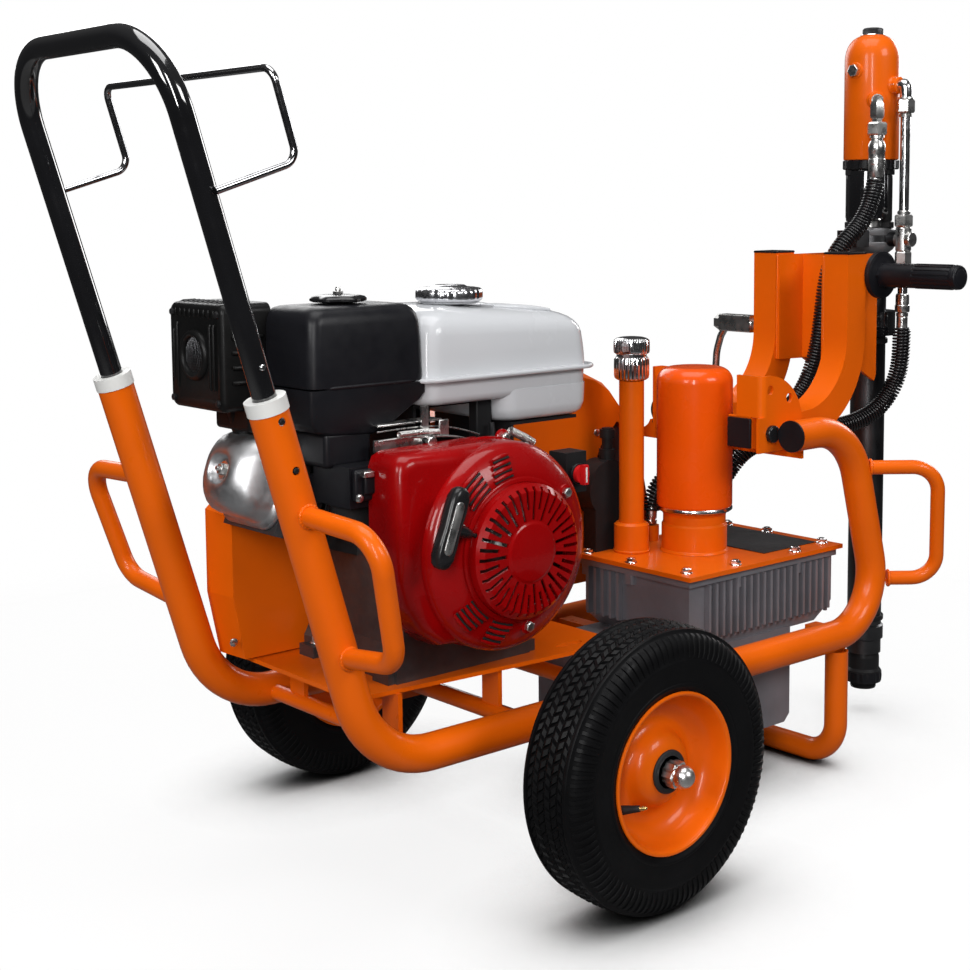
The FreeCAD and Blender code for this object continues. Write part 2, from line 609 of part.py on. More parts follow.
# cheek plates on the inner faces of the arms
ya0, ya1 = C["arm_right_y"] + C["arm_width"] / 2, C["arm_left_y"] - C["arm_width"] / 2
cheek = [(608, 562), (667, 560.5), (729, 527), (733, 536), (733, 712), (727, 718), (608, 718)]
feature("yoke_cheeks", Part.makeCompound([slab(cheek, ya0 + 0.05, ya0 + 5.5, [(678, 689, 9.1)]), slab(cheek, ya1 - 5.5, ya1 - 0.05),
                                         Part.makeBox(5, ya1 - ya0 - 11.1, 155, V(662.4, ya0 + 5.55, 562))]))
caps = []
for y in (C["arm_right_y"], C["arm_left_y"]):
    w2, d2 = C["arm_width"] / 2, half
    c1 = Part.makeBox(2 * d2 + 1, 2 * w2 + 1, 3.2, V(ax - d2 - 0.5, y - w2 - 0.5, C["arm_top"] + 0.05))
    c1 = c1.makeFillet(1.6, [e for e in c1.Edges if min(v.Point.z for v in e.Vertexes) > C["arm_top"] + 2])
    c1 = c1.fuse(Part.makeBox(2 * d2 - 6.6, 2 * w2 - 6.6, 12, V(ax - d2 + 3.3, y - w2 + 3.3, C["arm_top"] - 11.9)))
    caps.append(c1)
feature("yoke_caps", Part.makeCompound(caps))

# clamp that grips the pump, bolted between the cheek plates
LX, LY = C["line_x"], C["line_y"]
blk = Part.makeBox(LX - 668, 77.8, 108, V(668, -65.9, 592)).cut(Part.makeBox(120, 100, 34, V(696, -80, 629)))
blk = blk.fuse([Part.makeCylinder(40, 37, V(LX, LY, 592), V(0, 0, 1)), Part.makeCylinder(40, 37, V(LX, LY, 663), V(0, 0, 1))])
blk = blk.cut(Part.makeCylinder(C["fluid_radius"] + 0.05, 200, V(LX, LY, 560), V(0, 0, 1)))
blk = blk.cut(Part.makeBox(60, 3, 200, V(LX + 10, LY - 1.5, 560))).cut(Part.makeCylinder(9.06, 24, V(678, -70, 689), V(0, 1, 0)))
feature("pump_clamp", max(blk.removeSplitter().Solids, key=lambda q: q.Volume))

hx, hz = 678.0, 689.0
grip_section = [(0, 0), (14.5, 0, (16.6, 0.9)), (17.5, 3), (17.5, 60), (16.6, 64), (16.6, 120), (17.2, 128, (16.3, 131)), (14, 132), (0, 132)]
grip = turned("clamp_grip_body", "XY_Plane", V(hx, -120, hz), [[(p[0], -p[1]) + ((p[2][0], -p[2][1]),) if len(p) > 2 else (p[0], -p[1]) for p in grip_section]])
boss = cyl((hx, -121.5, hz), (0, 1, 0), 34, 7.5)
stub = cyl((hx, -121, hz), (0, 1, 0), 9, 70)
rim_ring = cyl((hx, -114.2, hz), (0, 1, 0), 14, 8)
place(fuse(grip, boss, stub, rim_ring), "clamp_handle")

cx, cz = 622.0, 611.0
crank = Part.makeBox(22, 62, 26, V(cx - 11, 72, cz - 13)).fuse(Part.makeCylinder(9, 14, V(cx, 59.9, cz), V(0, 1, 0)))
crank = crank.makeFillet(2.5, [e for e in crank.Edges if abs(e.BoundBox.YLength - 62) < 0.5])
hexn = Part.Face(Part.makePolygon([V(cx + 12 * math.cos(a), 133.5, cz + 12 * math.sin(a)) for a in [math.radians(60 * i + 30) for i in range(7)]])).extrude(V(0, 11, 0))
lever = sweep([(cx, 128, cz - 6), (cx, 139, cz - 22), (cx, 147, cz - 46), (cx, 149, cz - 74)], [22, 60], 5.5)
feature("crank_lever", crank.fuse(hexn).fuse(lever))

# ================================================================ paint pump
MR = C["motor_radius"]
LPOS = V(LX, 0, -LY)


def lathe(label, pos, loop, more=()):
    return turned(label + "_turned", "XZ_Plane", pos, [loop])


motor_loop = [("sizes.rod_radius+0.3", "sizes.motor_bottom-13"), ("sizes.motor_radius+1", "sizes.motor_bottom-13"), ("sizes.motor_radius+1", 853), (39, "sizes.motor_bottom"),
              ("sizes.motor_radius", "sizes.motor_bottom+1"), ("sizes.motor_radius", 1012, (37.5, 1028)), (26, 1040), (20, "sizes.motor_top-1"), (15, "sizes.motor_top"), (0, "sizes.motor_top"), (0, 1030),
              (20, 1028), (33, 1010), (33, 866), (30, 862), ("sizes.rod_radius+0.3", 862)]
motor = lathe("motor", LPOS, motor_loop)
hexcap = doc.addObject("Part::Prism", uid("hex"))
hexcap.Polygon, hexcap.Circumradius, hexcap.Height = 6, 16.5, 14
hexcap.Placement.Base = V(LX, LY, 1041.5)
elbow_boss = cyl((LX, LY - 36, 967), (0, -1, 0), 13, 13.8)
plug = doc.addObject("Part::Prism", uid("hex"))
plug.Polygon, plug.Circumradius, plug.Height = 6, 9, 12
plug.Placement = FreeCAD.Placement(V(LX - 38, LY, 990), FreeCAD.Rotation(V(0, 0, 1), V(-1, 0, 0)))
port = cyl((LX - 27.5, LY - 27.5, 945), (-0.7071, -0.7071, 0), 11, 14)
place(fuse(motor, hexcap, elbow_boss, plug, port), "hydraulic_motor")

rods = []
for k in range(3):
    a = math.radians(30 + 120 * k)
    px, py = LX + 30 * math.cos(a), LY + 30 * math.sin(a)
    rod = Part.makeCylinder(6.5, 88.6, V(px, py, 755.2))
    for z, hgt in ((755.2, 8), (835.8, 8)):
        rod = rod.fuse(Part.Face(Part.makePolygon([V(px + 10 * math.cos(b), py + 10 * math.sin(b), z) for b in [math.radians(60 * i) for i in range(7)]])).extrude(V(0, 0, hgt)))
    rods.append(rod)
feature("tie_rods", Part.makeCompound(rods))

rod_loop = [(0, 330), (8.6, 330), (8.6, 345), ("sizes.rod_radius", 345), ("sizes.rod_radius", 925), (32.7, 925), (32.7, 950), ("sizes.rod_radius", 950), (8, 962), (0, 962)]
place(lathe("piston", LPOS, rod_loop), "piston_rod")

FR = C["fluid_radius"]
pump_loop = [("sizes.rod_radius+0.3", 755), (36, 755), (38, 752), (38, 728), (34, 722), ("sizes.fluid_radius", 716), ("sizes.fluid_radius", 140), (29, 138), (29, 118), ("sizes.fluid_radius", 116), ("sizes.fluid_radius", 95), (0, 95), (0, 280),
             ("sizes.rod_radius+0.3", 280)]
pump = lathe("fluid", LPOS, pump_loop)
side_block = box((LX - 62, LY - 22, 727), (LX - 30, LY + 14, 752))
tee_boss = cyl((LX, LY - 34, 738), (0, -1, 0), 11, 16)
place(fuse(pump, side_block, tee_boss), "fluid_pump")

foot_loop = [(15, 38), (19, 38), (19, 46), (27, 48), (27, 66), (24, 70), (24, 88), (22, 94.8), (12, 94.8), (12, 60), (15, 56)]
place(lathe("foot", LPOS, foot_loop), "foot_valve")

# silver pipe from the top of the motor to the tee on the collar
ty = -89.0
pipe = Part.makeBox(22, 22, 20, V(LX - 11, ty - 11, 957))
for z, hgt, r in ((929, 28.2, 12.5), (750, 22, 12.5), (694, 15, 12.5)):
    pipe = pipe.fuse(Part.Face(Part.makePolygon([V(LX + r * math.cos(b), ty + r * math.sin(b), z) for b in [math.radians(60 * i) for i in range(7)]])).extrude(V(0, 0, hgt)))
pipe = pipe.fuse(Part.makeCylinder(6.5, 180, V(LX, ty, 760)))
pipe = pipe.fuse(Part.makeCylinder(11, 45, V(LX, ty, 706))).fuse(Part.makeCylinder(9, 36, V(LX, LY - 50.2, 738), V(0, -1, 0)))
pipe = pipe.fuse(Part.makeCylinder(8, 52, V(LX, ty, 645))).fuse(Part.makeCylinder(11, 24, V(LX, ty, 629)))
feature("transfer_pipe", pipe.removeSplitter())

# ================================================================= reservoir
LT = C["lid_top"]
lid_loop = [("sizes.lid_x", "sizes.lid_y"), ("sizes.lid_x+sizes.lid_length", "sizes.lid_y"),
            ("sizes.lid_x+sizes.lid_length", "sizes.lid_y+sizes.lid_width"), ("sizes.lid_x", "sizes.lid_y+sizes.lid_width")]
SCREWS = [(281, -104), (366, -115), (493, -115), (566, -104), (570, 0), (566, 74), (493, 80), (271, 74), (272, -10)]
lid = padded("lid_body", "XY_Plane", V(0, 0, LT - C["lid_thick"]), [lid_loop], C["lid_thick"], holes=[(x, y, 4.3) for x, y in SCREWS] +
             [(C["filter_x"], C["filter_y"], 30), (C["fill_x"], C["fill_y"], 16)], depth_expr="sizes.lid_thick")
place(lid, "reservoir_lid")
screws = []
for x, y in SCREWS:
    h = Part.Face(Part.makePolygon([V(x + 7.5 * math.cos(a), y + 7.5 * math.sin(a), LT + 0.02) for a in [math.radians(60 * i) for i in range(7)]])).extrude(V(0, 0, 5))
    screws.append(h.fuse(Part.makeCylinder(4, 19, V(x, y, LT - 18.9))))
feature("lid_screws", Part.makeCompound(screws))

# cast tank with fins on its right and rear faces, tapered floor and sump
tz1 = LT - C["lid_thick"] - 0.02
tank = Part.makeBox(300, 196, tz1 - 226, V(272, -117, 226))
tank = tank.fuse(Part.makeBox(309, 208, 10, V(266, -123, tz1 - 10)))
wire_a = Part.makePolygon([V(272, -117, 226), V(572, -117, 226), V(572, 79, 226), V(272, 79, 226), V(272, -117, 226)])
wire_b = Part.makePolygon([V(300, -112, 200), V(540, -112, 200), V(540, 74, 200), V(300, 74, 200), V(300, -112, 200)])
tank = tank.fuse(Part.makeLoft([wire_a, wire_b], True, True))
sump_pts = [(181, 78), (192, 67), (470, 67), (481, 78), (481, 203), (181, 203)]
sump = slab(sump_pts, -117, 79)
tank = tank.fuse(sump)
inner = Part.makeBox(288, 184, tz1 - 226 + 1, V(278, -111, 226)).fuse(slab([(187, 80), (194, 73), (468, 73), (475, 80), (475, 191), (187, 191)], -111, 73))
inner = inner.fuse(Part.makeBox(160, 170, 60, V(306, -104, 185)))
tank = tank.cut(inner)
for x, y in SCREWS:
    tank = tank.fuse(Part.makeCylinder(8, 24, V(x, y, tz1 - 24)).common(Part.makeBox(309, 208, 60, V(266, -123, 240)))).cut(
        Part.makeCylinder(4.05, 18.4, V(x, y, tz1 - 18)))
for i in range(19):
    x = 302.5 + i * 14.0
    tank = tank.fuse(Part.makeBox(4, 9, 78, V(x, -125.5, 213)).cut(slab([(x - 2, 212), (x + 6, 212), (x + 6, 218), (x - 2, 218)], -130, -121)))
for i in range(5):
    y = 6 + i * 14.8
    tank = tank.fuse(Part.makeBox(9, 4, 66, V(264, y, 225)))
tank = tank.fuse(Part.makeCylinder(14, 8, V(236, -117.5, 96), V(0, -1, 0)))
for y in (-44,):
    tank = tank.fuse(Part.makeCylinder(17, 10, V(571, y, 262), V(1, 0, 0)))
tank = tank.removeSplitter()
feature("reservoir_tank", max(tank.Solids, key=lambda q: q.Volume))

FX, FY = C["fill_x"], C["fill_y"]
fill_loop = [(13.5, "sizes.lid_top+0.02"), (24.6, "sizes.lid_top+0.02"), (24.6, 347), (21, 350), ("sizes.fill_radius", 350), ("sizes.fill_radius", "sizes.fill_top"), (14.5, "sizes.fill_top"), (14.5, 320), (13.5, 318)]
place(lathe("filler", V(FX, 0, -FY), fill_loop), "fill_tube")
place(lathe("filler_cap", V(FX, 0, -FY), [(0, "sizes.fill_top+0.3"), (12.6, "sizes.fill_top+0.3"), (12.6, 538), (14.1, 538), (14.1, "sizes.fill_top+0.05"), (19.5, "sizes.fill_top+0.05"), (20.5, 553), (20.5, 582), (24.5, 585), (24.5, 605), (22, 609), (0, 611)]), "fill_cap")

KX, KY = C["filter_x"], C["filter_y"]
KPOS = V(KX, 0, -KY)
head_loop = [(12, "sizes.lid_top+0.02"), (46, "sizes.lid_top+0.02"), (46, 346), (44, 349), (44, 360), (46, 364), (46, "sizes.filter_bottom-3"), (14, "sizes.filter_bottom-3"), (14, 384), (11, 384), (11, 330), (12, 330)]
fhead = lathe("filter_base", KPOS, head_loop)
side_port = cyl((KX + 20, KY + 20, 337), (0.7071, 0.7071, 0), 12, 50)
ELBOW, OUTLET = V(447, 38, 337), V(0.36, -0.47, 0.81).normalize()
outlet = cyl(tuple(ELBOW - OUTLET * 6), tuple(OUTLET), 12, 24)
return_port = cyl((401.6, 77, LT + 0.02), (0, 0, 1), 12, 22)
place(fuse(fhead, side_port, outlet, return_port), "filter_head")
can_loop = [(14.6, "sizes.filter_bottom-2.8"), (46, "sizes.filter_bottom-2.8"), (52, "sizes.filter_bottom"), ("sizes.filter_radius", "sizes.filter_bottom+3"), ("sizes.filter_radius", 546, (47, 562)), (30, "sizes.filter_top-1"), (0, "sizes.filter_top"), (0, 564), (28, 563),
            (46, 555), (50, 544), (50, "sizes.filter_bottom+4"), (14.6, "sizes.filter_bottom+4")]
place(lathe("canister", KPOS, can_loop), "filter_canister")

# hydraulic pump on a bracket that stands on the lid
HX, HZ = C["pump_axis_x"], C["pump_axis_z"]
hp = Part.makeCylinder(40, 33, V(HX, 68, HZ), V(0, 1, 0)).fuse(Part.makeCylinder(30, 5, V(HX, 100, HZ), V(0, 1, 0)))
hp = hp.fuse(Part.makeBox(58, 23.8, HZ - 20 - LT, V(HX - 29, 68, LT + 0.02))).fuse(Part.makeBox(77, 23.8, 8, V(HX - 29, 68, LT + 0.02)))
hp = hp.fuse(Part.makeCylinder(12, 20, V(HX + 8, 82, HZ + 34), V(0, 0, 1)))
hp = hp.fuse(Part.makeCylinder(8, 34, V(HX + 8, 82, HZ + 50), V(0, 0, 1)))
hp = hp.fuse(Part.makeCylinder(11, 12, V(HX + 8, 82, HZ + 70), V(0, 0, 1)))
hp = hp.cut(Part.makeCylinder(10.05, 60, V(HX, 78, HZ), V(0, 1, 0)))
feature("hydraulic_pump", hp)


def pulley(r, y0, y1, bore_r):
    """Grooved pulley section, x is the radius."""
    m, g = (y0 + y1) / 2, 10.4
    return [(bore_r, y0), (r + 4, y0), (r + 4, m - g - 0.5), (r - 8, m - g + 1.5), (r - 8, m + g - 1.5), (r + 4, m + g + 0.5), (r + 4, y1), (bore_r, y1)]


GY0, GY1 = 116.0, 142.0
pp = turned("pump_pulley_turned", "XY_Plane", V(HX, 0, HZ), [pulley(C["pump_pulley_radius"], GY0, GY1, 9.0)])
pshaft = cyl((HX, 79, HZ), (0, 1, 0), 10, 66)
lighten = [cyl((HX + 52 * math.cos(math.radians(60 * k)), GY0 - 2, HZ + 52 * math.sin(math.radians(60 * k))), (0, 1, 0), 17, 32) for k in range(6)]
place(fuse(cut(pp, fuse(*lighten)), pshaft), "pump_pulley")
ep = turned("engine_pulley_turned", "XY_Plane", V(C["crank_x"], 0, C["crank_z"]), [pulley(C["engine_pulley_radius"], GY0, GY1, C["shaft_radius"] + 0.02)])
place(ep, "engine_pulley")

CX, CZ = C["crank_x"], C["crank_z"]


def belt_wire(r1, r2, y):
    """Open belt line around the engine pulley (r1) and the pump pulley (r2)."""
    dx, dz = HX - CX, HZ - CZ
    d = math.hypot(dx, dz)
    base, off = math.atan2(dz, dx), math.acos((r1 - r2) / d)
    def at(cx_, cz_, r, a):
        return V(cx_ + r * math.cos(a), y, cz_ + r * math.sin(a))
    a, b = base + off, base - off
    e = [Part.LineSegment(at(CX, CZ, r1, a), at(HX, HZ, r2, a)).toShape(),
         Part.Arc(at(HX, HZ, r2, a), at(HX, HZ, r2, base), at(HX, HZ, r2, b)).toShape(),
         Part.LineSegment(at(HX, HZ, r2, b), at(CX, CZ, r1, b)).toShape(),
         Part.Arc(at(CX, CZ, r1, b), at(CX, CZ, r1, base + math.pi), at(CX, CZ, r1, a)).toShape()]
    return Part.Wire(e)


e_r, p_r = C["engine_pulley_radius"], C["pump_pulley_radius"]
belt = Part.Face(belt_wire(e_r + 3, p_r + 3, 129 - 8.2)).extrude(V(0, 16.4, 0)).cut(Part.Face(belt_wire(e_r - 7.6, p_r - 7.6, 119)).extrude(V(0, 22, 0)))
feature("drive_belt", belt)

# belt guard: a sheet box around the pulleys, its front end flared outwards
g_low = [(-276, 252), (478, 252)]
g_far = [(478, 300), (468, 358), (456, 401), (440, 442), (403, 506), (376, 534), (338, 551), (300, 557), (-60, 506), (-240, 480), (-292, 432), (-292, 330)]
g_near = [(434, 300), (430, 340), (413, 411), (396, 450), (370, 500), (346, 528), (318, 545), (292, 552), (-60, 502), (-238, 474), (-287, 428), (-287, 330)]


def ring_at(y, pts, low, d=0.0):
    cxm, czm = 120.0, 400.0
    full = [low[0], low[1]] + pts
    out = []
    n = len(full)
    for i, (x, z) in enumerate(full):
        (xa, za), (xb, zb) = full[i - 1], full[(i + 1) % n]
        n1 = V(z - za, 0, -(x - xa)).normalize()
        n2 = V(zb - z, 0, -(xb - x)).normalize()
        k = 1 + n1.dot(n2)
        out.append(V(x - (n1.x + n2.x) / k * d, y, z - (n1.z + n2.z) / k * d))
    return Part.makePolygon(out + [out[0]])


g_out = Part.makeLoft([ring_at(106, g_near, [(-272, 252), (434, 252)]), ring_at(152, g_far, g_low), ring_at(158, [(x - 3 if x > 300 else x, z - (3 if z > 450 else 0)) for x, z in g_far], [(-276, 252), (475, 252)])], True, True)
g_in = Part.makeLoft([ring_at(108, g_near, [(-272, 252), (434, 252)], 2.5), ring_at(152, g_far, g_low, 2.5), ring_at(156, [(x - 3 if x > 300 else x, z - (3 if z > 450 else 0)) for x, z in g_far], [(-276, 252), (475, 252)], 2.5)], True, True)
guard = g_out.cut(g_in)
front_open = slab([(303, 312), (301, 375), (309, 410), (329, 451), (361, 483), (378, 474), (392, 446), (407, 411), (422, 345), (425, 312)], 104, 109.5)
guard = guard.cut(front_open).cut(Part.makeCylinder(26, 8, V(CX, 103, CZ), V(0, 1, 0))).cut(Part.makeCylinder(16, 8, V(HX, 103, HZ), V(0, 1, 0)))
guard = guard.cut(Part.makeBox(240, 60, 12, V(240, 100, 245)))
feature("belt_guard", max(guard.Solids, key=lambda q: q.Volume))

# ==================================================================== engine
PT = C["plate_top"]
CYL = V(-math.cos(math.radians(18.8)), 0, math.sin(math.radians(18.8)))
CUP = V(math.sin(math.radians(18.8)), 0, math.cos(math.radians(18.8)))
CRANK = V(CX, 0, CZ)


def tilted(d0, d1, y0, y1, u0, u1):
    """Block along the inclined cylinder: d along it, u across it, upwards."""
    o_ = CRANK + CYL * d0 + CUP * u0
    face = Part.makePolygon([V(p.x, y0, p.z) for p in (o_, CRANK + CYL * d1 + CUP * u0, CRANK + CYL * d1 + CUP * u1, CRANK + CYL * d0 + CUP * u1, o_)])
    return Part.Face(face).extrude(V(0, y1 - y0, 0))


case = slab([(-196, PT + 0.1), (8, PT + 0.1), (8, 300), (16, 380), (16, 404), (-4, 452), (-40, 482), (-96, 492), (-150, 470), (-180, 420), (-186, 290), (-196, 272)], -96, 92)
case = case.fuse(Part.makeCylinder(66, 8, V(CX, 88, CZ), V(0, 1, 0)))
for y in (-92, 58):
    case = case.fuse(Part.makeBox(226, 30, 14, V(-206, y, PT + 0.1)))
case = case.fuse(tilted(60, 128, -2, 90, -52, 52))
cavity = Part.makeCylinder(78, 168, V(CX, -86, CZ), V(0, 1, 0))
case = case.cut(cavity).cut(Part.makeCylinder(C["shaft_radius"] + 0.06, 260, V(CX, -130, CZ), V(0, 1, 0)))
feature("crankcase", case.removeSplitter())

head_blk = tilted(128.1, 214, -6, 104, -52, 54)
for i in range(5):
    d = 140 + i * 14
    groove = tilted(d, d + 6, -8, 106, -54, 58).cut(tilted(d - 1, d + 7, 10, 88, -36, 38))
    head_blk = head_blk.cut(groove)
feature("cylinder_head", head_blk)
vc = tilted(214.1, 266, 4, 98, -44, 46)
vc = vc.makeFillet(15, [e for e in vc.Edges if abs(abs((e.Vertexes[0].Point - e.Vertexes[-1].Point).normalize().dot(CYL)) - 1) < 0.01])
vc = vc.fuse(tilted(214.1, 220, -2, 104, -50, 52)).fuse(Part.makeCylinder(7, 6, CRANK + CYL * 265 + V(0, 51, 0), CYL))
feature("valve_cover", vc)

# blower housing: round drum with a duct towards the cylinder
BR = C["blower_radius"]
drum = [(28, -99), ("sizes.blower_radius-4", -99), ("sizes.blower_radius", -104), ("sizes.blower_radius", -158), (110, -172), (88, -177.8), (72, -177.8), (72, -174.8), (87, -174.8), (108, -169.5), ("sizes.blower_radius-3", -157), ("sizes.blower_radius-3", -106), ("sizes.blower_radius-6", -102), (28, -102)]
drum_b = turned("blower_turned", "XY_Plane", V(CX, 0, CZ), [drum])
duct = doc.addObject("Part::Feature", "blower_duct")
duct_line = [(-80, 300), (-176, 300), (-232, 352), (-249, 420), (-249, 524), (-80, 524)]
d_out = slab(duct_line, -152, -97)
d_out = d_out.makeFillet(16, [e for e in d_out.Edges if max(v.Point.y for v in e.Vertexes) < -151 and min(v.Point.x for v in e.Vertexes) < -90])
d_in = slab([(-80, 307), (-173, 307), (-226, 355), (-242, 421), (-242, 517), (-80, 517)], -145, -94)
duct.Shape = d_out.cut(d_in).cut(Part.makeCylinder(BR - 3.2, 80, V(CX, -160, CZ), V(0, 1, 0)))
place(fuse(drum_b, duct), "blower_housing")

disc = [(0, -199), (70, -199), (78, -192), (78, -178.2), (75, -178.2), (75, -190), (69, -196), (0, -196)]
disc_b = turned("recoil_turned", "XY_Plane", V(CX, 0, CZ), [disc])
rope_dir = V(-0.936, 0, 0.352)
rslots = doc.addObject("Part::Feature", "recoil_slots")
cuts = []
for k in range(38):
    a = math.radians(k * 360 / 38.0)
    r0, r1 = (37, 74.6) if k % 2 else (49, 74.6)
    blade = Part.makeBox(r1 - r0, 12, 4.2, V(r0, -202, -2.1))
    blade.rotate(V(0, 0, 0), V(0, 1, 0), -math.degrees(a))
    blade.translate(V(CX, 0, CZ))
    cuts.append(blade)
rope_hole = Part.makeCylinder(3.2, 40, V(CX, -186.5, CZ) + rope_dir * 62, rope_dir)
rslots.Shape = Part.makeCompound(cuts + [rope_hole])
place(cut(disc_b, rslots), "recoil_cover")

hc = V(CX, -186.5, CZ) + rope_dir * 116
rope = Part.makeCylinder(2.2, 178, hc - rope_dir * 176, rope_dir)
across = V(rope_dir.z, 0, -rope_dir.x)
tee = Part.makeCylinder(7.5, 78, hc - across * 39, across)
tee = tee.fuse(Part.makeSphere(7.5, hc - across * 39)).fuse(Part.makeSphere(7.5, hc + across * 39))
neck = Part.makeCone(6.5, 7.4, 22, hc - rope_dir * 24, rope_dir)
feature("recoil_handle", tee.fuse(neck).fuse(rope))

shaft = Part.makeCylinder(C["shaft_radius"], 148 + 100 - 2, V(CX, -100, CZ), V(0, 1, 0))
shaft = shaft.fuse(Part.makeCylinder(11, 62, V(CX, -162, CZ), V(0, 1, 0)))
shaft = shaft.fuse(Part.makeCylinder(98, 30, V(CX, -146, CZ), V(0, 1, 0))).fuse(Part.makeCylinder(112, 6, V(CX, -152, CZ), V(0, 1, 0)))
shaft = shaft.cut(Part.makeCylinder(86, 22, V(CX, -138, CZ), V(0, 1, 0)).cut(Part.makeCylinder(30, 22, V(CX, -138, CZ), V(0, 1, 0))))
shaft = shaft.fuse(slab([(CX - 34, CZ - 62), (CX + 34, CZ - 62), (CX + 20, CZ + 10), (CX - 20, CZ + 10)], -60, -30)).fuse(slab([(CX - 34, CZ - 62), (CX + 34, CZ - 62), (CX + 20, CZ + 10), (CX - 20, CZ + 10)], 20, 50))
shaft = shaft.fuse(Part.makeCylinder(16, 10, V(CX, -172, CZ), V(0, 1, 0)))
feature("crankshaft", shaft)

# fuel tank: pressed shell in two halves with a seam flange and a stepped floor
ft_top = box((-132, -72, 594), (139, 110, 677))
ft_r = fillet(ft_top, 26, lambda e: vertical(e) or min(v.Point.z for v in e.Vertexes) > 676)
ft_low = fillet(box((-132, -72, 561), (139, 110, 594)), 24, vertical)
ft_deep = fillet(box((-12, -72, 531), (139, 110, 570)), 22, lambda e: vertical(e))
ft_flange = fillet(box((-140, -80, 591), (147, 118, 595)), 30, vertical)
ft_neck = cyl((-35, 0, 666), (0, 0, 1), 26, 19)
ft_in_a = box((-122, -62, 566), (129, 100, 652))
ft_in_b = box((-2, -62, 536), (129, 100, 570))
ft_hole = cyl((-35, 0, 640), (0, 0, 1), 22, 50)
ft_feet = [box((x, y, 500 if y > 0 else 500), (x + 24, y + 16, 562)) for x, y in ((-36, 60), (-36, -60))]
place(cut(fuse(ft_r, ft_low, ft_deep, ft_flange, ft_neck), fuse(ft_in_a, ft_in_b, ft_hole)), "fuel_tank")
fc = [(0, 697), (20, 699), (38, 696), (41, 691), (41, 679.2), (26.5, 679.2), (26.5, 685.5), (21.5, 685.5), (21.5, 672), (0, 672)]
place(lathe("fuel_cap", V(-35, 0, 0), fc), "fuel_cap")

ac_base = Part.makePolygon([V(-272, -58, 548), V(-203, -58, 539), V(-178, -58, 548), V(-141.5, -58, 574), V(-141.5, -58, 592), V(-272, -58, 592), V(-272, -58, 548)])
ac_base = Part.Face(ac_base).extrude(V(0, 92, 0)).fuse(Part.makeBox(46, 40, 30, V(-250, -58, 520)))
ac_base = ac_base.fuse(Part.makeBox(136, 112, 5, V(-277, -70, 590)))
ac_base = ac_base.cut(Part.makeCylinder(14, 50, V(-226, -38, 515)))
feature("air_cleaner_base", ac_base)
acc = fillet(box((-277, -70, 595.2), (-134, 42, 684)), 20, lambda e: vertical(e) or min(v.Point.z for v in e.Vertexes) > 683)
acc_in = box((-269, -62, 590), (-142, 34, 674))
place(cut(acc, fuse(acc_in, cyl((-211, -14, 660), (0, 0, 1), 5, 40))), "air_cleaner_cover")
knob = Part.makeCylinder(12, 8, V(-211, -14, 684.3)).fuse(Part.makeBox(62, 9, 9, V(-242, -18.5, 689)))
knob = knob.cut(Part.makeCylinder(3.6, 40, V(-211, -14, 680)))
feature("air_cleaner_knob", knob)

mf = fillet(box((-345, 21, 565), (-280, 139, 688)), 11, lambda e: abs(e.BoundBox.YLength - 118) < 0.5 and e.BoundBox.XLength < 0.5)
mf_out = cyl((-340, 83, 628), (-1, 0, 0), 29, 11)
mf_neck = cyl((-300, 51, 538), (0, 0, 1), 15, 31)
mf_in = box((-338, 28, 572), (-287, 132, 681))
place(cut(fuse(mf, mf_out, mf_neck), fuse(mf_in, cyl((-330, 83, 628), (-1, 0, 0), 21, 40), cyl((-300, 51, 520), (0, 0, 1), 11, 60))), "muffler")

carb = Part.makeBox(58, 70, 46, V(-258, -96, 462)).fuse(Part.makeCylinder(24, 30, V(-228, -60, 432))).fuse(Part.makeCylinder(17, 13, V(-226, -38, 507)))
carb = carb.fuse(Part.makeBox(40, 20.8, 20, V(-250, -27, 470)))
carb = carb.cut(Part.makeCylinder(12, 22, V(-226, -38, 500)))
feature("carburettor", carb)
tl = Part.makeBox(86, 3, 14, V(-214, -84, 519)).fuse(Part.makeCylinder(9, 6, V(-140, -87, 526), V(0, 1, 0))).fuse(Part.makeBox(10, 3, 44, V(-146, -84, 522)))
tl = tl.cut(Part.makeCylinder(4.1, 20, V(-140, -92, 526), V(0, 1, 0)))
feature("throttle_lever", tl)
sw = Part.makeCylinder(11, 8, V(58, -131, 470), V(0, -1, 0)).fuse(Part.makeBox(8, 7, 24, V(54, -145, 458)))
sw = sw.cut(Part.makeCylinder(3.56, 6, V(58, -137, 470), V(0, 1, 0)))
feature("engine_switch", sw)

# brackets on the crankcase that carry the tank, the throttle and the switch
frame_parts = Part.makeBox(4, 150, 88, V(12, -60, 440)).fuse(Part.makeBox(110, 150, 4, V(12, -60, 526.6)))
frame_parts = frame_parts.fuse(Part.makeBox(26, 150, 4, V(12, -60, 440)))
frame_parts = frame_parts.fuse(Part.makeBox(4, 130, 78, V(-124, -40, 482))).fuse(Part.makeBox(90, 130, 4, V(-124, -40, 556.6)))
frame_parts = frame_parts.fuse(Part.makeBox(34, 30, 50, V(42, -126, 446))).fuse(Part.makeBox(62, 40, 5, V(12, -98, 462)))
frame_parts = frame_parts.fuse(Part.makeCylinder(4, 40, V(-140, -96, 526), V(0, 1, 0))).fuse(Part.makeBox(22, 3, 60, V(-151, -80, 478)))
frame_parts = frame_parts.fuse(Part.makeCylinder(3.5, 14, V(58, -136.5, 470), V(0, 1, 0)))
feature("engine_bracket", frame_parts)

# ===================================================================== hoses
HR = C["hose_od"] / 2


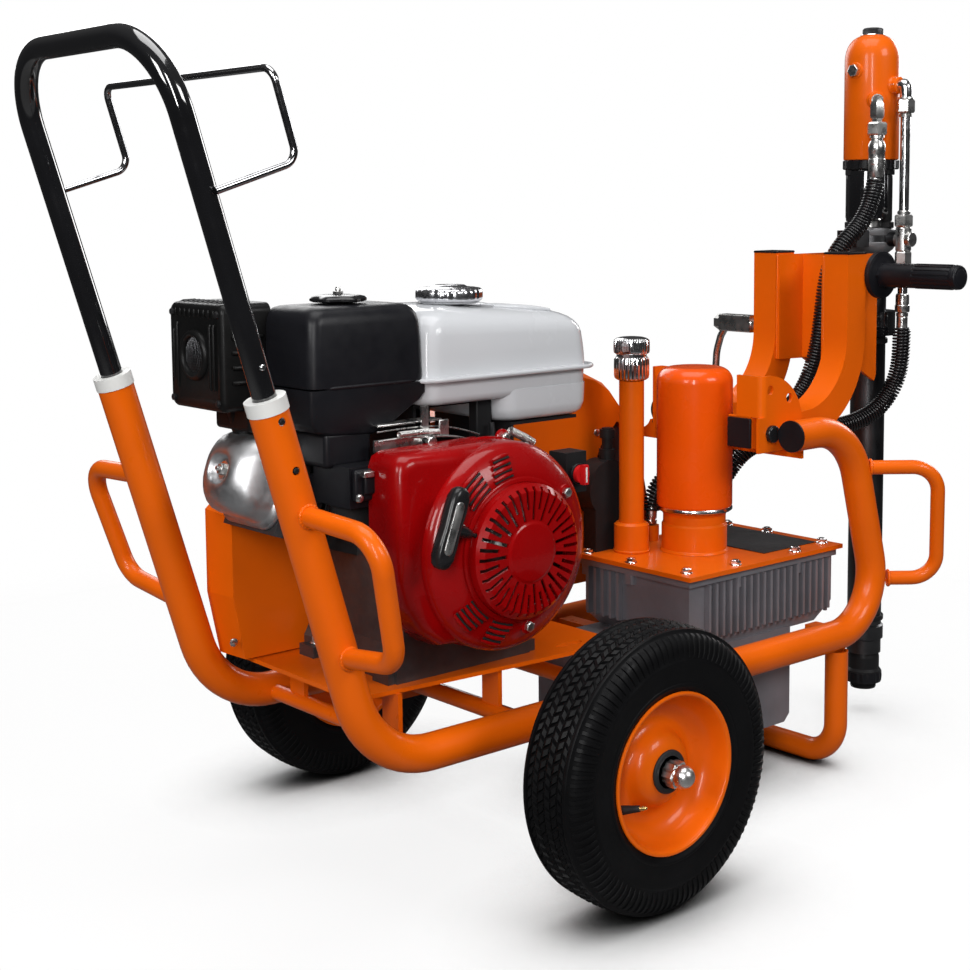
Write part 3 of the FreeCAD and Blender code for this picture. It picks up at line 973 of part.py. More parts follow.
def hose(label, pts):
    radii = []
    for i in range(1, len(pts) - 1):
        a, b = V(*pts[i - 1]) - V(*pts[i]), V(*pts[i + 1]) - V(*pts[i])
        turn = math.pi - a.getAngle(b)
        radii.append(0.45 * min(a.Length, b.Length) / math.tan(turn / 2))
    path = bent_path(pts, radii)
    solid = sweep(pts, radii, HR)
    ratio = solid.Volume / (math.pi * HR * HR * path.Length)
    print("%s: length %.0f, volume ratio %.4f, radii %s" % (label, path.Length, ratio, " ".join("%.0f" % r for r in radii)))
    feature(label, solid)


tip = ELBOW + OUTLET * 18.2
hose("pressure_hose", [(772, -89, 628.9), (772, -89, 580), (771, -86, 540), (762, -78, 508), (740, -70, 482), (704, -60, 466), (660, -48, 459), (612, -38, 455),
                       (566, -26, 453), (530, -20, 449), (501, -15, 440), (482, -7, 419), (472.2, 5.1, 393.7), tuple(tip)])
hose("return_hose", [(733.6, -66.4, 829.8), (729, -66, 797), (705, -62, 770), (676, -53, 745), (655, -44, 712), (652, -38, 665), (652, -33, 620), (651, -27, 578),
                     (645, -18, 538), (629, -11, 506), (602, -7, 486), (566, -4, 474), (530, -1, 464), (500, 7, 450), (474, 26, 438), (450, 48, 424), (424, 67, 402),
                     (401.6, 77, 370), (401.6, 77, 330.4)])

# ---------------------------------------------------------------- write files
doc.recompute()
for obj in doc.Objects:
    if "Invalid" in obj.State or "Error" in obj.State:
        raise RuntimeError("%s is %s" % (obj.Name, obj.State))
total = None
for obj in NODES:
    shape = obj.Shape
    if shape.isNull() or not shape.isValid() or not shape.Solids:
        raise RuntimeError("%s has no valid solid" % obj.Label)
    box_now = shape.BoundBox
    print("%-20s %6.0f..%6.0f %6.0f..%6.0f %6.0f..%6.0f  %d solids  %.1f cm3" % (
        obj.Label, box_now.XMin, box_now.XMax, box_now.YMin, box_now.YMax, box_now.ZMin, box_now.ZMax, len(shape.Solids), shape.Volume / 1000))
    if total is None:
        total = FreeCAD.BoundBox(box_now)
    total.add(box_now)
    shape.exportStep("parts/" + obj.Label + ".step")
print("%d sub-parts, whole object %.1f %.1f  %.1f %.1f  %.1f %.1f" % (
    len(NODES), total.XMin, total.XMax, total.YMin, total.YMax, total.ZMin, total.ZMax))
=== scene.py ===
import bpy
import bmesh
import json
import math
import random
from mathutils import Matrix, Vector

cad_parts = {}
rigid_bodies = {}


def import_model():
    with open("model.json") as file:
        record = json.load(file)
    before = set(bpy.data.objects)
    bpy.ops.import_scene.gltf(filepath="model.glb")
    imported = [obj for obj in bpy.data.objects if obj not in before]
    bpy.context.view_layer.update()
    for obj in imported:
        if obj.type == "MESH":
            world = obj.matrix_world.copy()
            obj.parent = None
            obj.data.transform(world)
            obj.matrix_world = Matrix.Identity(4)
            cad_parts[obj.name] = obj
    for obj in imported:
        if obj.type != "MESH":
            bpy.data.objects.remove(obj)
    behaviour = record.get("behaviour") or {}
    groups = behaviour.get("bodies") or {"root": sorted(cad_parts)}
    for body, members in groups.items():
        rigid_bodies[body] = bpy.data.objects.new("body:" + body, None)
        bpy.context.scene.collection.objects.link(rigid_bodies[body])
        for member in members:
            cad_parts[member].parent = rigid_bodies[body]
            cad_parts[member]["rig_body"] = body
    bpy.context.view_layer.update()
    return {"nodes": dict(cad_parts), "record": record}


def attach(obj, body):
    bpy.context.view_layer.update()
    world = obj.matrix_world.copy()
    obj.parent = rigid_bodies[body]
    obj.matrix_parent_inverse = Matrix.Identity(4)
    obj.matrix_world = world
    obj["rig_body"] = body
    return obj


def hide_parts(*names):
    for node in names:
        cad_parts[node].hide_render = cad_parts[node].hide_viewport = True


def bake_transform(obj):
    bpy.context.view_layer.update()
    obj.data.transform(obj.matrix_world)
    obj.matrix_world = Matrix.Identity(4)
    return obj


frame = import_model()
nodes = frame["nodes"]
random.seed(7)


def P(x, y, z):
    """Point measured in millimetres from the wheel axle, as a vector in metres."""
    return Vector(((x - 141.45) / 1000.0, y / 1000.0, z / 1000.0))


MM = 0.001

# ------------------------------------------------------------------- camera
cam_data = bpy.data.cameras.new("camera")
cam = bpy.data.objects.new("camera", cam_data)
bpy.context.scene.collection.objects.link(cam)
bpy.context.scene.camera = cam
az, el, roll = math.radians(49.614), math.radians(5.862), math.radians(-0.5025)
fwd = Vector((math.cos(az) * math.cos(el), math.sin(az) * math.cos(el), -math.sin(el)))
right = Vector((math.sin(az), -math.cos(az), 0))
up = right.cross(fwd)
r_ = right * math.cos(roll) + up * math.sin(roll)
u_ = -right * math.sin(roll) + up * math.cos(roll)
rot = Matrix((r_, u_, -fwd)).transposed().to_4x4()
cam.matrix_world = Matrix.Translation(Vector((-1.44016, -1.55227, 0.7998))) @ rot
cam_data.sensor_width = 36.0
cam_data.lens = 1633.34 * 36.0 / 970.0
cam_data.shift_y = -0.1192
cam_data.clip_start, cam_data.clip_end = 0.05, 60.0

# ---------------------------------------------------------- light and floor
scene = bpy.context.scene
world = bpy.data.worlds.new("studio")
scene.world = world
world.use_nodes = True
nt = world.node_tree
nt.nodes.clear()
w_out = nt.nodes.new("ShaderNodeOutputWorld")
w_mix = nt.nodes.new("ShaderNodeMixShader")
w_path = nt.nodes.new("ShaderNodeLightPath")
w_cam = nt.nodes.new("ShaderNodeBackground")
w_env = nt.nodes.new("ShaderNodeBackground")
w_tc = nt.nodes.new("ShaderNodeTexCoord")
w_sep = nt.nodes.new("ShaderNodeSeparateXYZ")
w_ramp = nt.nodes.new("ShaderNodeValToRGB")
w_cam.inputs["Color"].default_value = (1, 1, 1, 1)
w_cam.inputs["Strength"].default_value = 1.0
w_env.inputs["Strength"].default_value = 0.10
nt.links.new(w_tc.outputs["Generated"], w_sep.inputs[0])
nt.links.new(w_sep.outputs["Z"], w_ramp.inputs["Fac"])
ramp = w_ramp.color_ramp
ramp.elements[0].position, ramp.elements[0].color = 0.0, (0.30, 0.30, 0.31, 1)
ramp.elements[1].position, ramp.elements[1].color = 0.75, (1.0, 1.0, 1.0, 1)
e = ramp.elements.new(0.16)
e.color = (0.34, 0.34, 0.35, 1)
nt.links.new(w_ramp.outputs["Color"], w_env.inputs["Color"])
nt.links.new(w_path.outputs["Is Camera Ray"], w_mix.inputs[0])
nt.links.new(w_env.outputs[0], w_mix.inputs[1])
nt.links.new(w_cam.outputs[0], w_mix.inputs[2])
nt.links.new(w_mix.outputs[0], w_out.inputs["Surface"])
scene.view_settings.view_transform = "Standard"
scene.view_settings.look = "None"


def area(name, loc, target, size, power, size_y=None):
    d = bpy.data.lights.new(name, "AREA")
    d.shape = "RECTANGLE"
    d.size, d.size_y = size, size_y or size
    d.energy = power
    o = bpy.data.objects.new(name, d)
    o.location = loc
    o.rotation_mode = "QUATERNION"
    o.rotation_quaternion = (Vector(target) - Vector(loc)).to_track_quat("-Z", "Y")
    scene.collection.objects.link(o)
    o.visible_camera = False
    return o


area("key", (0.7, -3.3, 2.5), (0, 0, 0.5), 1.5, 56, 1.1)
area("left_strip", (-2.5, -2.3, 1.55), (0, 0, 0.5), 0.34, 52, 2.0)
area("top", (-0.3, -0.2, 3.8), (0, 0, 0.4), 2.6, 82)
area("rear_fill", (-3.3, -0.9, 1.9), (0, 0, 0.5), 0.8, 44, 1.3)
area("far_rim", (1.2, 3.2, 2.2), (0, 0, 0.5), 2.0, 40)
area("front_rim", (3.2, 0.4, 1.6), (0, 0, 0.5), 1.2, 30)

me = bpy.data.meshes.new("floor")
bm = bmesh.new()
bmesh.ops.create_circle(bm, cap_ends=True, radius=9.0, segments=96)
bm.to_mesh(me)
bm.free()
floor = bpy.data.objects.new("floor", me)
scene.collection.objects.link(floor)
floor.location = (0, 0, -0.0006)
fm = bpy.data.materials.new("floor_paper")
fm.use_nodes = True
ft = fm.node_tree
fb = ft.nodes["Principled BSDF"]
# The AO mask paints contact shadow into the floor colour: near black where parts stand on or hang close to the floor,
# pale elsewhere.
f_contact_shadow_ao = ft.nodes.new("ShaderNodeAmbientOcclusion")
f_contact_shadow_ao.samples = 6
f_contact_shadow_ao.inputs["Distance"].default_value = 0.16
f_contact_shadow_ramp = ft.nodes.new("ShaderNodeValToRGB")
f_contact_shadow_ramp.color_ramp.elements[0].position, f_contact_shadow_ramp.color_ramp.elements[0].color = 0.30, (0.004, 0.004, 0.004, 1)
f_contact_shadow_ramp.color_ramp.elements[1].position, f_contact_shadow_ramp.color_ramp.elements[1].color = 0.95, (0.88, 0.88, 0.88, 1)
ft.links.new(f_contact_shadow_ao.outputs["AO"], f_contact_shadow_ramp.inputs["Fac"])
ft.links.new(f_contact_shadow_ramp.outputs["Color"], fb.inputs["Base Color"])
fb.inputs["Roughness"].default_value = 0.6
fb.inputs["Specular IOR Level"].default_value = 0.15
f_tc = ft.nodes.new("ShaderNodeTexCoord")
f_len = ft.nodes.new("ShaderNodeVectorMath")
f_len.operation = "LENGTH"
f_map = ft.nodes.new("ShaderNodeMapRange")
f_map.inputs["From Min"].default_value, f_map.inputs["From Max"].default_value = 0.62, 1.9
f_map.interpolation_type = "SMOOTHERSTEP"
f_tr = ft.nodes.new("ShaderNodeBsdfTransparent")
f_mix = ft.nodes.new("ShaderNodeMixShader")
ft.links.new(f_tc.outputs["Object"], f_len.inputs[0])
ft.links.new(f_len.outputs["Value"], f_map.inputs["Value"])
# Opacity follows the same mask: the floor stays opaque where the painted contact shadow is and turns mostly
# transparent elsewhere.
f_clear_outside_shadow = ft.nodes.new("ShaderNodeMapRange")
f_clear_outside_shadow.inputs["From Min"].default_value, f_clear_outside_shadow.inputs["From Max"].default_value = 0.45, 0.98
f_clear_outside_shadow.inputs["To Min"].default_value, f_clear_outside_shadow.inputs["To Max"].default_value = 0.0, 0.86
f_clear_outside_shadow.interpolation_type = "SMOOTHSTEP"
f_max = ft.nodes.new("ShaderNodeMath")
f_max.operation = "MAXIMUM"
ft.links.new(f_contact_shadow_ao.outputs["AO"], f_clear_outside_shadow.inputs["Value"])
ft.links.new(f_clear_outside_shadow.outputs["Result"], f_max.inputs[0])
ft.links.new(f_map.outputs["Result"], f_max.inputs[1])
ft.links.new(f_max.outputs[0], f_mix.inputs[0])
ft.links.new(fb.outputs[0], f_mix.inputs[1])
ft.links.new(f_tr.outputs[0], f_mix.inputs[2])
ft.links.new(f_mix.outputs[0], ft.nodes["Material Output"].inputs["Surface"])
me.materials.append(fm)


# ----------------------------------------------------------------- materials
def shader(name):
    m = bpy.data.materials.new(name)
    m.use_nodes = True
    t = m.node_tree
    return m, t, t.nodes["Principled BSDF"]


def noise(t, scale, detail=3.0, rough=0.55, coord=None, stretch=None):
    if coord is None:
        tc = t.nodes.new("ShaderNodeTexCoord")
        coord = tc.outputs["Object"]
    if stretch:
        mp = t.nodes.new("ShaderNodeMapping")
        mp.inputs["Scale"].default_value = stretch
        t.links.new(coord, mp.inputs["Vector"])
        coord = mp.outputs["Vector"]
    n = t.nodes.new("ShaderNodeTexNoise")
    n.inputs["Scale"].default_value = scale
    n.inputs["Detail"].default_value = detail
    n.inputs["Roughness"].default_value = rough
    t.links.new(coord, n.inputs["Vector"])
    return n.outputs["Fac"]


def ramp_of(t, fac, stops):
    r = t.nodes.new("ShaderNodeValToRGB")
    els = r.color_ramp.elements
    els[0].position, els[0].color = stops[0][0], (*stops[0][1], 1)
    els[1].position, els[1].color = stops[-1][0], (*stops[-1][1], 1)
    for pos, col in stops[1:-1]:
        x = els.new(pos)
        x.color = (*col, 1)
    t.links.new(fac, r.inputs["Fac"])
    return r.outputs["Color"]


def to_range(t, fac, lo, hi, a=0.0, b=1.0):
    m = t.nodes.new("ShaderNodeMapRange")
    m.inputs["From Min"].default_value, m.inputs["From Max"].default_value = a, b
    m.inputs["To Min"].default_value, m.inputs["To Max"].default_value = lo, hi
    t.links.new(fac, m.inputs["Value"])
    return m.outputs["Result"]


def bump(t, b, fac, strength, distance, more=None):
    n = t.nodes.new("ShaderNodeBump")
    n.inputs["Strength"].default_value = strength
    n.inputs["Distance"].default_value = distance
    t.links.new(fac, n.inputs["Height"])
    if more is not None:
        t.links.new(more, n.inputs["Normal"])
    t.links.new(n.outputs["Normal"], b.inputs["Normal"])
    return n.outputs["Normal"]


def mix_colour(t, fac, a, b):
    m = t.nodes.new("ShaderNodeMix")
    m.data_type = "RGBA"
    m.inputs[6].default_value = (*a, 1) if isinstance(a, tuple) else (0, 0, 0, 1)
    m.inputs[7].default_value = (*b, 1) if isinstance(b, tuple) else (0, 0, 0, 1)
    if not isinstance(a, tuple):
        t.links.new(a, m.inputs[6])
    if not isinstance(b, tuple):
        t.links.new(b, m.inputs[7])
    if isinstance(fac, float):
        m.inputs[0].default_value = fac
    else:
        t.links.new(fac, m.inputs[0])
    return m.outputs[2]


def cavity(t, amount_lo=0.46, amount_hi=0.54):
    """Darker in corners, lighter along edges, from the mesh itself."""
    g = t.nodes.new("ShaderNodeNewGeometry")
    return to_range(t, g.outputs["Pointiness"], 0.0, 1.0, amount_lo, amount_hi)


def paint(name, base, rough=0.34, coat=0.35, coat_rough=0.12, peel=0.05, vary=0.10, scale=9.0, grime=0.25, metallic=0.0, spec=0.14, coat_ior=1.38):
    """Sprayed or powder coat: orange peel, slow colour drift, soft grime low in the grain, uneven gloss."""
    m, t, b = shader(name)
    lo = tuple(c * (1 - vary) for c in base)
    hi = tuple(min(1.0, c * (1 + vary * 0.6)) for c in base)
    colour = ramp_of(t, noise(t, scale, 4.0), [(0.3, lo), (0.7, hi)])
    dust = ramp_of(t, noise(t, scale * 5.5, 6.0, 0.7), [(0.58, (0, 0, 0)), (0.78, (1, 1, 1))])
    dust_amount = to_range(t, dust, 0.0, grime)
    colour = mix_colour(t, dust_amount, colour, tuple(c * 0.62 + 0.01 for c in base))
    t.links.new(colour, b.inputs["Base Color"])
    t.links.new(to_range(t, noise(t, scale * 3, 5.0), rough - 0.07, rough + 0.09, 0.3, 0.7), b.inputs["Roughness"])
    b.inputs["Specular IOR Level"].default_value = spec
    b.inputs["Coat Weight"].default_value = coat
    b.inputs["Coat Roughness"].default_value = coat_rough
    b.inputs["Coat IOR"].default_value = coat_ior
    b.inputs["Metallic"].default_value = metallic
    bump(t, b, noise(t, 520.0, 2.0), peel, 0.0006)
    return m


def metal(name, base, rough=0.25, vary=0.15, scale=14.0, brushed=None, scratch=0.12, pits=0.0):
    m, t, b = shader(name)
    lo = tuple(c * (1 - vary) for c in base)
    t.links.new(ramp_of(t, noise(t, scale, 5.0), [(0.32, lo), (0.68, base)]), b.inputs["Base Color"])
    b.inputs["Metallic"].default_value = 1.0
    f = noise(t, 60.0, 6.0, 0.6, stretch=brushed or (1, 1, 1))
    t.links.new(to_range(t, f, max(0.02, rough - 0.08), rough + 0.12, 0.3, 0.7), b.inputs["Roughness"])
    n = bump(t, b, noise(t, 260.0, 4.0, stretch=brushed or (1, 1, 1)), scratch, 0.0004)
    if pits:
        bump(t, b, noise(t, 900.0, 2.0), pits, 0.0006, n)
    return m


def plastic(name, base, rough=0.4, grain=0.08, scale=700.0, vary=0.12, coat=0.0):
    m, t, b = shader(name)
    lo = tuple(c * (1 - vary) for c in base)
    hi = tuple(min(1, c * (1 + vary)) for c in base)
    t.links.new(ramp_of(t, noise(t, 22.0, 4.0), [(0.3, lo), (0.7, hi)]), b.inputs["Base Color"])
    t.links.new(to_range(t, noise(t, 45.0, 5.0), rough - 0.06, rough + 0.10, 0.3, 0.7), b.inputs["Roughness"])
    b.inputs["Specular IOR Level"].default_value = 0.25
    b.inputs["Coat Weight"].default_value = coat
    bump(t, b, noise(t, scale, 3.0), grain, 0.0005)
    return m


def cast(name, base, rough=0.5, metallic=0.6, lumps=0.35, dirt=0.5, fine=1100.0):
    """Sand or die casting: fine grain, larger lumps, dark residue in the low places."""
    m, t, b = shader(name)
    dark = tuple(c * 0.45 for c in base)
    c1 = ramp_of(t, noise(t, 30.0, 6.0, 0.65), [(0.36, tuple(c * 0.8 for c in base)), (0.66, base)])
    soot = to_range(t, noise(t, 12.0, 6.0, 0.7), 0.0, dirt, 0.5, 0.75)
    t.links.new(mix_colour(t, soot, c1, dark), b.inputs["Base Color"])
    b.inputs["Metallic"].default_value = metallic
    t.links.new(to_range(t, noise(t, 80.0, 4.0), rough - 0.1, rough + 0.12, 0.3, 0.7), b.inputs["Roughness"])
    n = bump(t, b, noise(t, fine, 3.0), lumps, 0.0007)
    bump(t, b, noise(t, 90.0, 4.0), lumps * 0.5, 0.0012, n)
    return m


def rubber(name, base=(0.018, 0.018, 0.019), rough=0.55, grain=0.18, sheen=0.2):
    m, t, b = shader(name)
    c1 = ramp_of(t, noise(t, 18.0, 5.0), [(0.3, tuple(c * 0.75 for c in base)), (0.72, tuple(c * 1.5 for c in base))])
    bloom = to_range(t, noise(t, 7.0, 6.0, 0.7), 0.0, 0.35, 0.55, 0.8)
    t.links.new(mix_colour(t, bloom, c1, tuple(c * 2.0 for c in base)), b.inputs["Base Color"])
    t.links.new(to_range(t, noise(t, 50.0, 5.0), rough - 0.1, rough + 0.12, 0.3, 0.7), b.inputs["Roughness"])
    b.inputs["Specular IOR Level"].default_value = 0.13
    bump(t, b, noise(t, 800.0, 3.0), grain, 0.0005)
    return m


ORANGE = (0.78, 0.122, 0.002)
M = {
    "orange": paint("orange_coat", ORANGE, 0.34, 0.34, 0.09, 0.04, 0.06, 8.0, 0.08),
    "orange_sheet": paint("orange_sheet_coat", (0.76, 0.120, 0.002), 0.38, 0.26, 0.14, 0.04, 0.06, 6.0, 0.06),
    "filter": paint("filter_coat", (0.80, 0.085, 0.002), 0.28, 0.5, 0.07, 0.03, 0.05, 7.0, 0.05),
    "red": paint("engine_red_coat", (0.285, 0.0010, 0.0016), 0.26, 0.5, 0.06, 0.05, 0.08, 9.0, 0.10),
    "white": paint("tank_white_coat", (0.56, 0.57, 0.59), 0.22, 0.5, 0.06, 0.03, 0.02, 6.0, 0.0),
    "black_gloss": paint("black_gloss_coat", (0.006, 0.006, 0.007), 0.12, 1.0, 0.03, 0.02, 0.3, 12.0, 0.12, spec=0.5, coat_ior=1.75),
    "black_satin": paint("black_satin_coat", (0.016, 0.016, 0.017), 0.42, 0.1, 0.3, 0.10, 0.3, 14.0, 0.3),
    "muffler": paint("heat_black", (0.006, 0.006, 0.006), 0.40, 0.15, 0.25, 0.12, 0.25, 16.0, 0.3),
    "black_plastic": plastic("moulded_black", (0.0075, 0.0076, 0.0098), 0.38, 0.08),
    "glossy_plastic": plastic("smooth_black", (0.011, 0.011, 0.012), 0.24, 0.03, coat=0.2),
    "white_plastic": plastic("white_nylon", (0.72, 0.72, 0.70), 0.42, 0.05, vary=0.05),
    "red_plastic": plastic("switch_red", (0.55, 0.01, 0.012), 0.3, 0.03),
    "zinc": metal("zinc_plate", (0.70, 0.695, 0.68), 0.27, 0.03, 20.0, None, 0.0),
    "chrome": metal("chrome_plate", (0.78, 0.78, 0.79), 0.10, 0.06, 10.0, None, 0.03),
    "cap_metal": metal("cap_plate", (0.72, 0.72, 0.74), 0.17, 0.04, 10.0, None, 0.0),
    "dark_chrome": metal("dark_chrome_plate", (0.40, 0.40, 0.41), 0.10, 0.06, 10.0, None, 0.03),
    "cover_silver": metal("pressed_cover", (0.55, 0.55, 0.56), 0.40, 0.03, 8.0, None, 0.0),
    "steel": metal("machined_steel", (0.50, 0.50, 0.50), 0.30, 0.2, 30.0, (1, 12, 1), 0.15),
    "cast": cast("die_cast_aluminium", (0.12, 0.12, 0.124), 0.40, 0.8, 0.22, 0.6),
    "tank_cast": paint("grey_casting", (0.215, 0.214, 0.235), 0.36, 0.35, 0.22, 0.30, 0.18, 12.0, 0.25, 0.30),
    "collar_cast": cast("collar_casting", (0.30, 0.30, 0.31), 0.42, 0.7, 0.25, 0.4, 900.0),
    "pump_dark": metal("oiled_steel", (0.11, 0.11, 0.115), 0.34, 0.35, 26.0, (1, 1, 0.2), 0.12),
    "tyre": rubber("tyre_rubber", (0.0028, 0.0028, 0.0032), 0.46, 0.10),
    "hose": rubber("hose_rubber", (0.014, 0.014, 0.015), 0.40, 0.10),
    "guard": plastic("hose_guard", (0.010, 0.010, 0.011), 0.20, 0.03, coat=0.3),
    "belt": rubber("belt_rubber", (0.02, 0.019, 0.018), 0.6, 0.3),
    # Near-black paint used as painted shade in openings: the louvre slits of the blower and the muffler outlet.
    "seam": paint("opening_shade_black", (0.02, 0.02, 0.02), 0.5, 0.0),
    "brass": metal("valve_brass", (0.66, 0.50, 0.20), 0.28, 0.2, 20.0, None, 0.1),
    "gasket": plastic("gasket_black", (0.02, 0.02, 0.021), 0.55, 0.15),
}
OF_NODE = {
    "side_tube_right": "orange", "side_tube_left": "orange", "cross_members": "orange", "engine_plate": "orange_sheet", "front_stand": "orange",
    "grab_loops": "orange", "rim_right": "orange", "rim_left": "orange", "pivot_bracket": "orange", "yoke_arms": "orange", "yoke_cheeks": "orange",
    "hydraulic_motor": "orange", "reservoir_lid": "orange_sheet", "fill_tube": "orange_sheet", "filter_head": "orange", "belt_guard": "orange_sheet",
    "handle_collars": "white_plastic", "tube_end_plugs": "black_plastic", "axle": "zinc", "tyre_right": "tyre", "tyre_left": "tyre",
    "handle_tube": "black_gloss", "hose_rack": "dark_chrome", "pivot_pin": "glossy_plastic", "yoke_caps": "glossy_plastic", "pump_clamp": "black_gloss",
    "clamp_handle": "black_plastic", "crank_lever": "zinc", "tie_rods": "black_satin", "piston_rod": "chrome", "fluid_pump": "pump_dark",
    "foot_valve": "black_satin", "transfer_pipe": "cap_metal", "lid_screws": "chrome", "reservoir_tank": "tank_cast", "fill_cap": "chrome",
    "filter_canister": "filter", "hydraulic_pump": "black_satin", "pump_pulley": "cast", "engine_pulley": "steel", "drive_belt": "belt",
    "crankcase": "cast", "cylinder_head": "cast", "valve_cover": "zinc", "blower_housing": "red", "recoil_cover": "red", "recoil_handle": "black_plastic",
    "crankshaft": "steel", "fuel_tank": "white", "fuel_cap": "chrome", "air_cleaner_base": "black_plastic", "air_cleaner_cover": "black_plastic",
    "air_cleaner_knob": "glossy_plastic", "muffler": "muffler", "carburettor": "black_plastic", "throttle_lever": "zinc", "engine_switch": "red_plastic",
    "engine_bracket": "black_satin", "pressure_hose": "hose", "return_hose": "hose",
}
for name, o in nodes.items():
    o.data.materials.clear()
    o.data.materials.append(M[OF_NODE[name]])


# ------------------------------------------------------------------- meshes
BODY_OF = {n: b for b, ns in frame["record"]["behaviour"]["bodies"].items() for n in ns}


def add(name, verts, faces, mat, body, smooth=35):
    m = bpy.data.meshes.new(name)
    m.from_pydata([tuple(v) for v in verts], [], faces)
    b = bmesh.new()
    b.from_mesh(m)
    bmesh.ops.recalc_face_normals(b, faces=b.faces)
    b.to_mesh(m)
    b.free()
    o = bpy.data.objects.new(name, m)
    scene.collection.objects.link(o)
    m.materials.append(M[mat])
    shade(o, smooth)
    if body:
        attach(o, body)
    return o


def shade(o, degrees):
    """Smooth faces, with sharp edges where two faces meet at more than the angle."""
    b = bmesh.new()
    b.from_mesh(o.data)
    limit = math.radians(degrees)
    for f in b.faces:
        f.smooth = degrees > 0
    for ed in b.edges:
        if len(ed.link_faces) == 2:
            ed.smooth = ed.calc_face_angle(0.0) < limit
    b.to_mesh(o.data)
    b.free()


def bevel(o, width, segments=2, angle=30):
    m = o.modifiers.new("edges", "BEVEL")
    m.width, m.segments = width, segments
    m.limit_method, m.angle_limit = "ANGLE", math.radians(angle)
    m.harden_normals = False
    return o


def basis(axis):
    a = Vector(axis).normalized()
    h = Vector((0, 0, 1)) if abs(a.z) < 0.9 else Vector((1, 0, 0))
    u = a.cross(h).normalized()
    return a, u, a.cross(u)


def lathe(name, profile, centre, axis, mat, body, seg=72, smooth=32, close=False, wobble=None):
    """Turned piece: profile is (radius, height along axis) in mm from centre."""
    a, u, v = basis(axis)
    c = Vector(centre)
    verts, faces = [], []
    n = len(profile)
    for k in range(seg):
        t = 2 * math.pi * k / seg
        for i, (r, h) in enumerate(profile):
            rr = r * (wobble(i, t) if wobble else 1.0)
            verts.append(c + a * (h * MM) + (u * math.cos(t) + v * math.sin(t)) * (rr * MM))
    rows = n if close else n - 1
    for k in range(seg):
        k2 = (k + 1) % seg
        for i in range(rows):
            j = (i + 1) % n
            faces.append((k * n + i, k * n + j, k2 * n + j, k2 * n + i))
    o = add(name, verts, faces, mat, None, 0)
    b = bmesh.new()
    b.from_mesh(o.data)
    bmesh.ops.remove_doubles(b, verts=b.verts, dist=1e-6)
    bmesh.ops.dissolve_degenerate(b, dist=1e-7, edges=b.edges)
    bmesh.ops.recalc_face_normals(b, faces=b.faces)
    b.to_mesh(o.data)
    b.free()
    shade(o, smooth)
    if body:
        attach(o, body)
    return o


def hexagon(name, centre, axis, across, height, mat, body, hole=0.0, turn=0.0, dome=0.0):
    """Hexagon head or nut with chamfered corners, sizes in mm."""
    a, u, v = basis(axis)
    c = Vector(centre)
    R = across / math.sqrt(3)
    prof = [(0.90, 0.0), (1.0, 0.10), (1.0, 0.88), (0.86, 1.0)]
    rings = []
    for k, h in prof:
        rings.append([c + a * (h * height * MM) + (u * math.cos(math.radians(60 * i + turn)) + v * math.sin(math.radians(60 * i + turn))) * (R * k * MM) for i in range(6)])
    verts = [p for r in rings for p in r]
    faces = [tuple(reversed(range(6)))]
    for j in range(3):
        for i in range(6):
            i2 = (i + 1) % 6
            faces.append((j * 6 + i, j * 6 + i2, (j + 1) * 6 + i2, (j + 1) * 6 + i))
    if dome:
        base = 18
        seg = 24
        last = None
        n0 = len(verts)
        dome_rings = 5
        for q in range(dome_rings):
            ang = math.radians(90 * q / dome_rings)
            rr, hh = across / 2 * 0.92 * math.cos(ang), height + dome * math.sin(ang)
            for s_ in range(seg):
                t = 2 * math.pi * s_ / seg
                verts.append(c + a * (hh * MM) + (u * math.cos(t) + v * math.sin(t)) * (rr * MM))
        verts.append(c + a * ((height + dome) * MM))
        for q in range(dome_rings - 1):
            for s_ in range(seg):
                s2 = (s_ + 1) % seg
                faces.append((n0 + q * seg + s_, n0 + q * seg + s2, n0 + (q + 1) * seg + s2, n0 + (q + 1) * seg + s_))
        for s_ in range(seg):
            faces.append((n0 + (dome_rings - 1) * seg + s_, n0 + (dome_rings - 1) * seg + (s_ + 1) % seg, len(verts) - 1))
        faces.append(tuple(range(18, 24)))
    else:
        faces.append(tuple(range(18, 24)))
    return add(name, verts, faces, mat, body, 28)


def frames_along(pts):
    """Positions with parallel-transported side vectors."""
    out = []
    t0 = (pts[1] - pts[0]).normalized()
    _, side, _ = basis(t0)
    for i, p in enumerate(pts):
        t = (pts[min(i + 1, len(pts) - 1)] - pts[max(i - 1, 0)]).normalized()
        side = (side - t * side.dot(t)).normalized()
        out.append((p, t, side, t.cross(side)))
    return out


def tube(name, pts, r, mat, body, seg=20, caps=True, smooth=50, radius_at=None):
    """Round section along points in metres; r in mm."""
    fr = frames_along(pts)
    verts, faces = [], []
    for i, (p, t, u, v) in enumerate(fr):
        rr = (radius_at(i / (len(fr) - 1)) if radius_at else r) * MM
        for k in range(seg):
            a = 2 * math.pi * k / seg
            verts.append(p + (u * math.cos(a) + v * math.sin(a)) * rr)
    for i in range(len(fr) - 1):
        for k in range(seg):
            k2 = (k + 1) % seg
            faces.append((i * seg + k, i * seg + k2, (i + 1) * seg + k2, (i + 1) * seg + k))
    if caps:
        faces.append(tuple(reversed(range(seg))))
        faces.append(tuple((len(fr) - 1) * seg + k for k in range(seg)))
    return add(name, verts, faces, mat, body, smooth)


def block(name, lo, hi, mat, body, width=1.0, segments=2, cells=None):
    """Bevelled block between two corners given in mm from the axle."""
    a, b_ = P(*lo), P(*hi)
    vs = [Vector((x, y, z)) for x in (a.x, b_.x) for y in (a.y, b_.y) for z in (a.z, b_.z)]
    fs = [(0, 1, 3, 2), (4, 6, 7, 5), (0, 4, 5, 1), (2, 3, 7, 6), (0, 2, 6, 4), (1, 5, 7, 3)]
    o = add(name, vs, fs, mat, body, 40)
    return bevel(o, width * MM, segments)


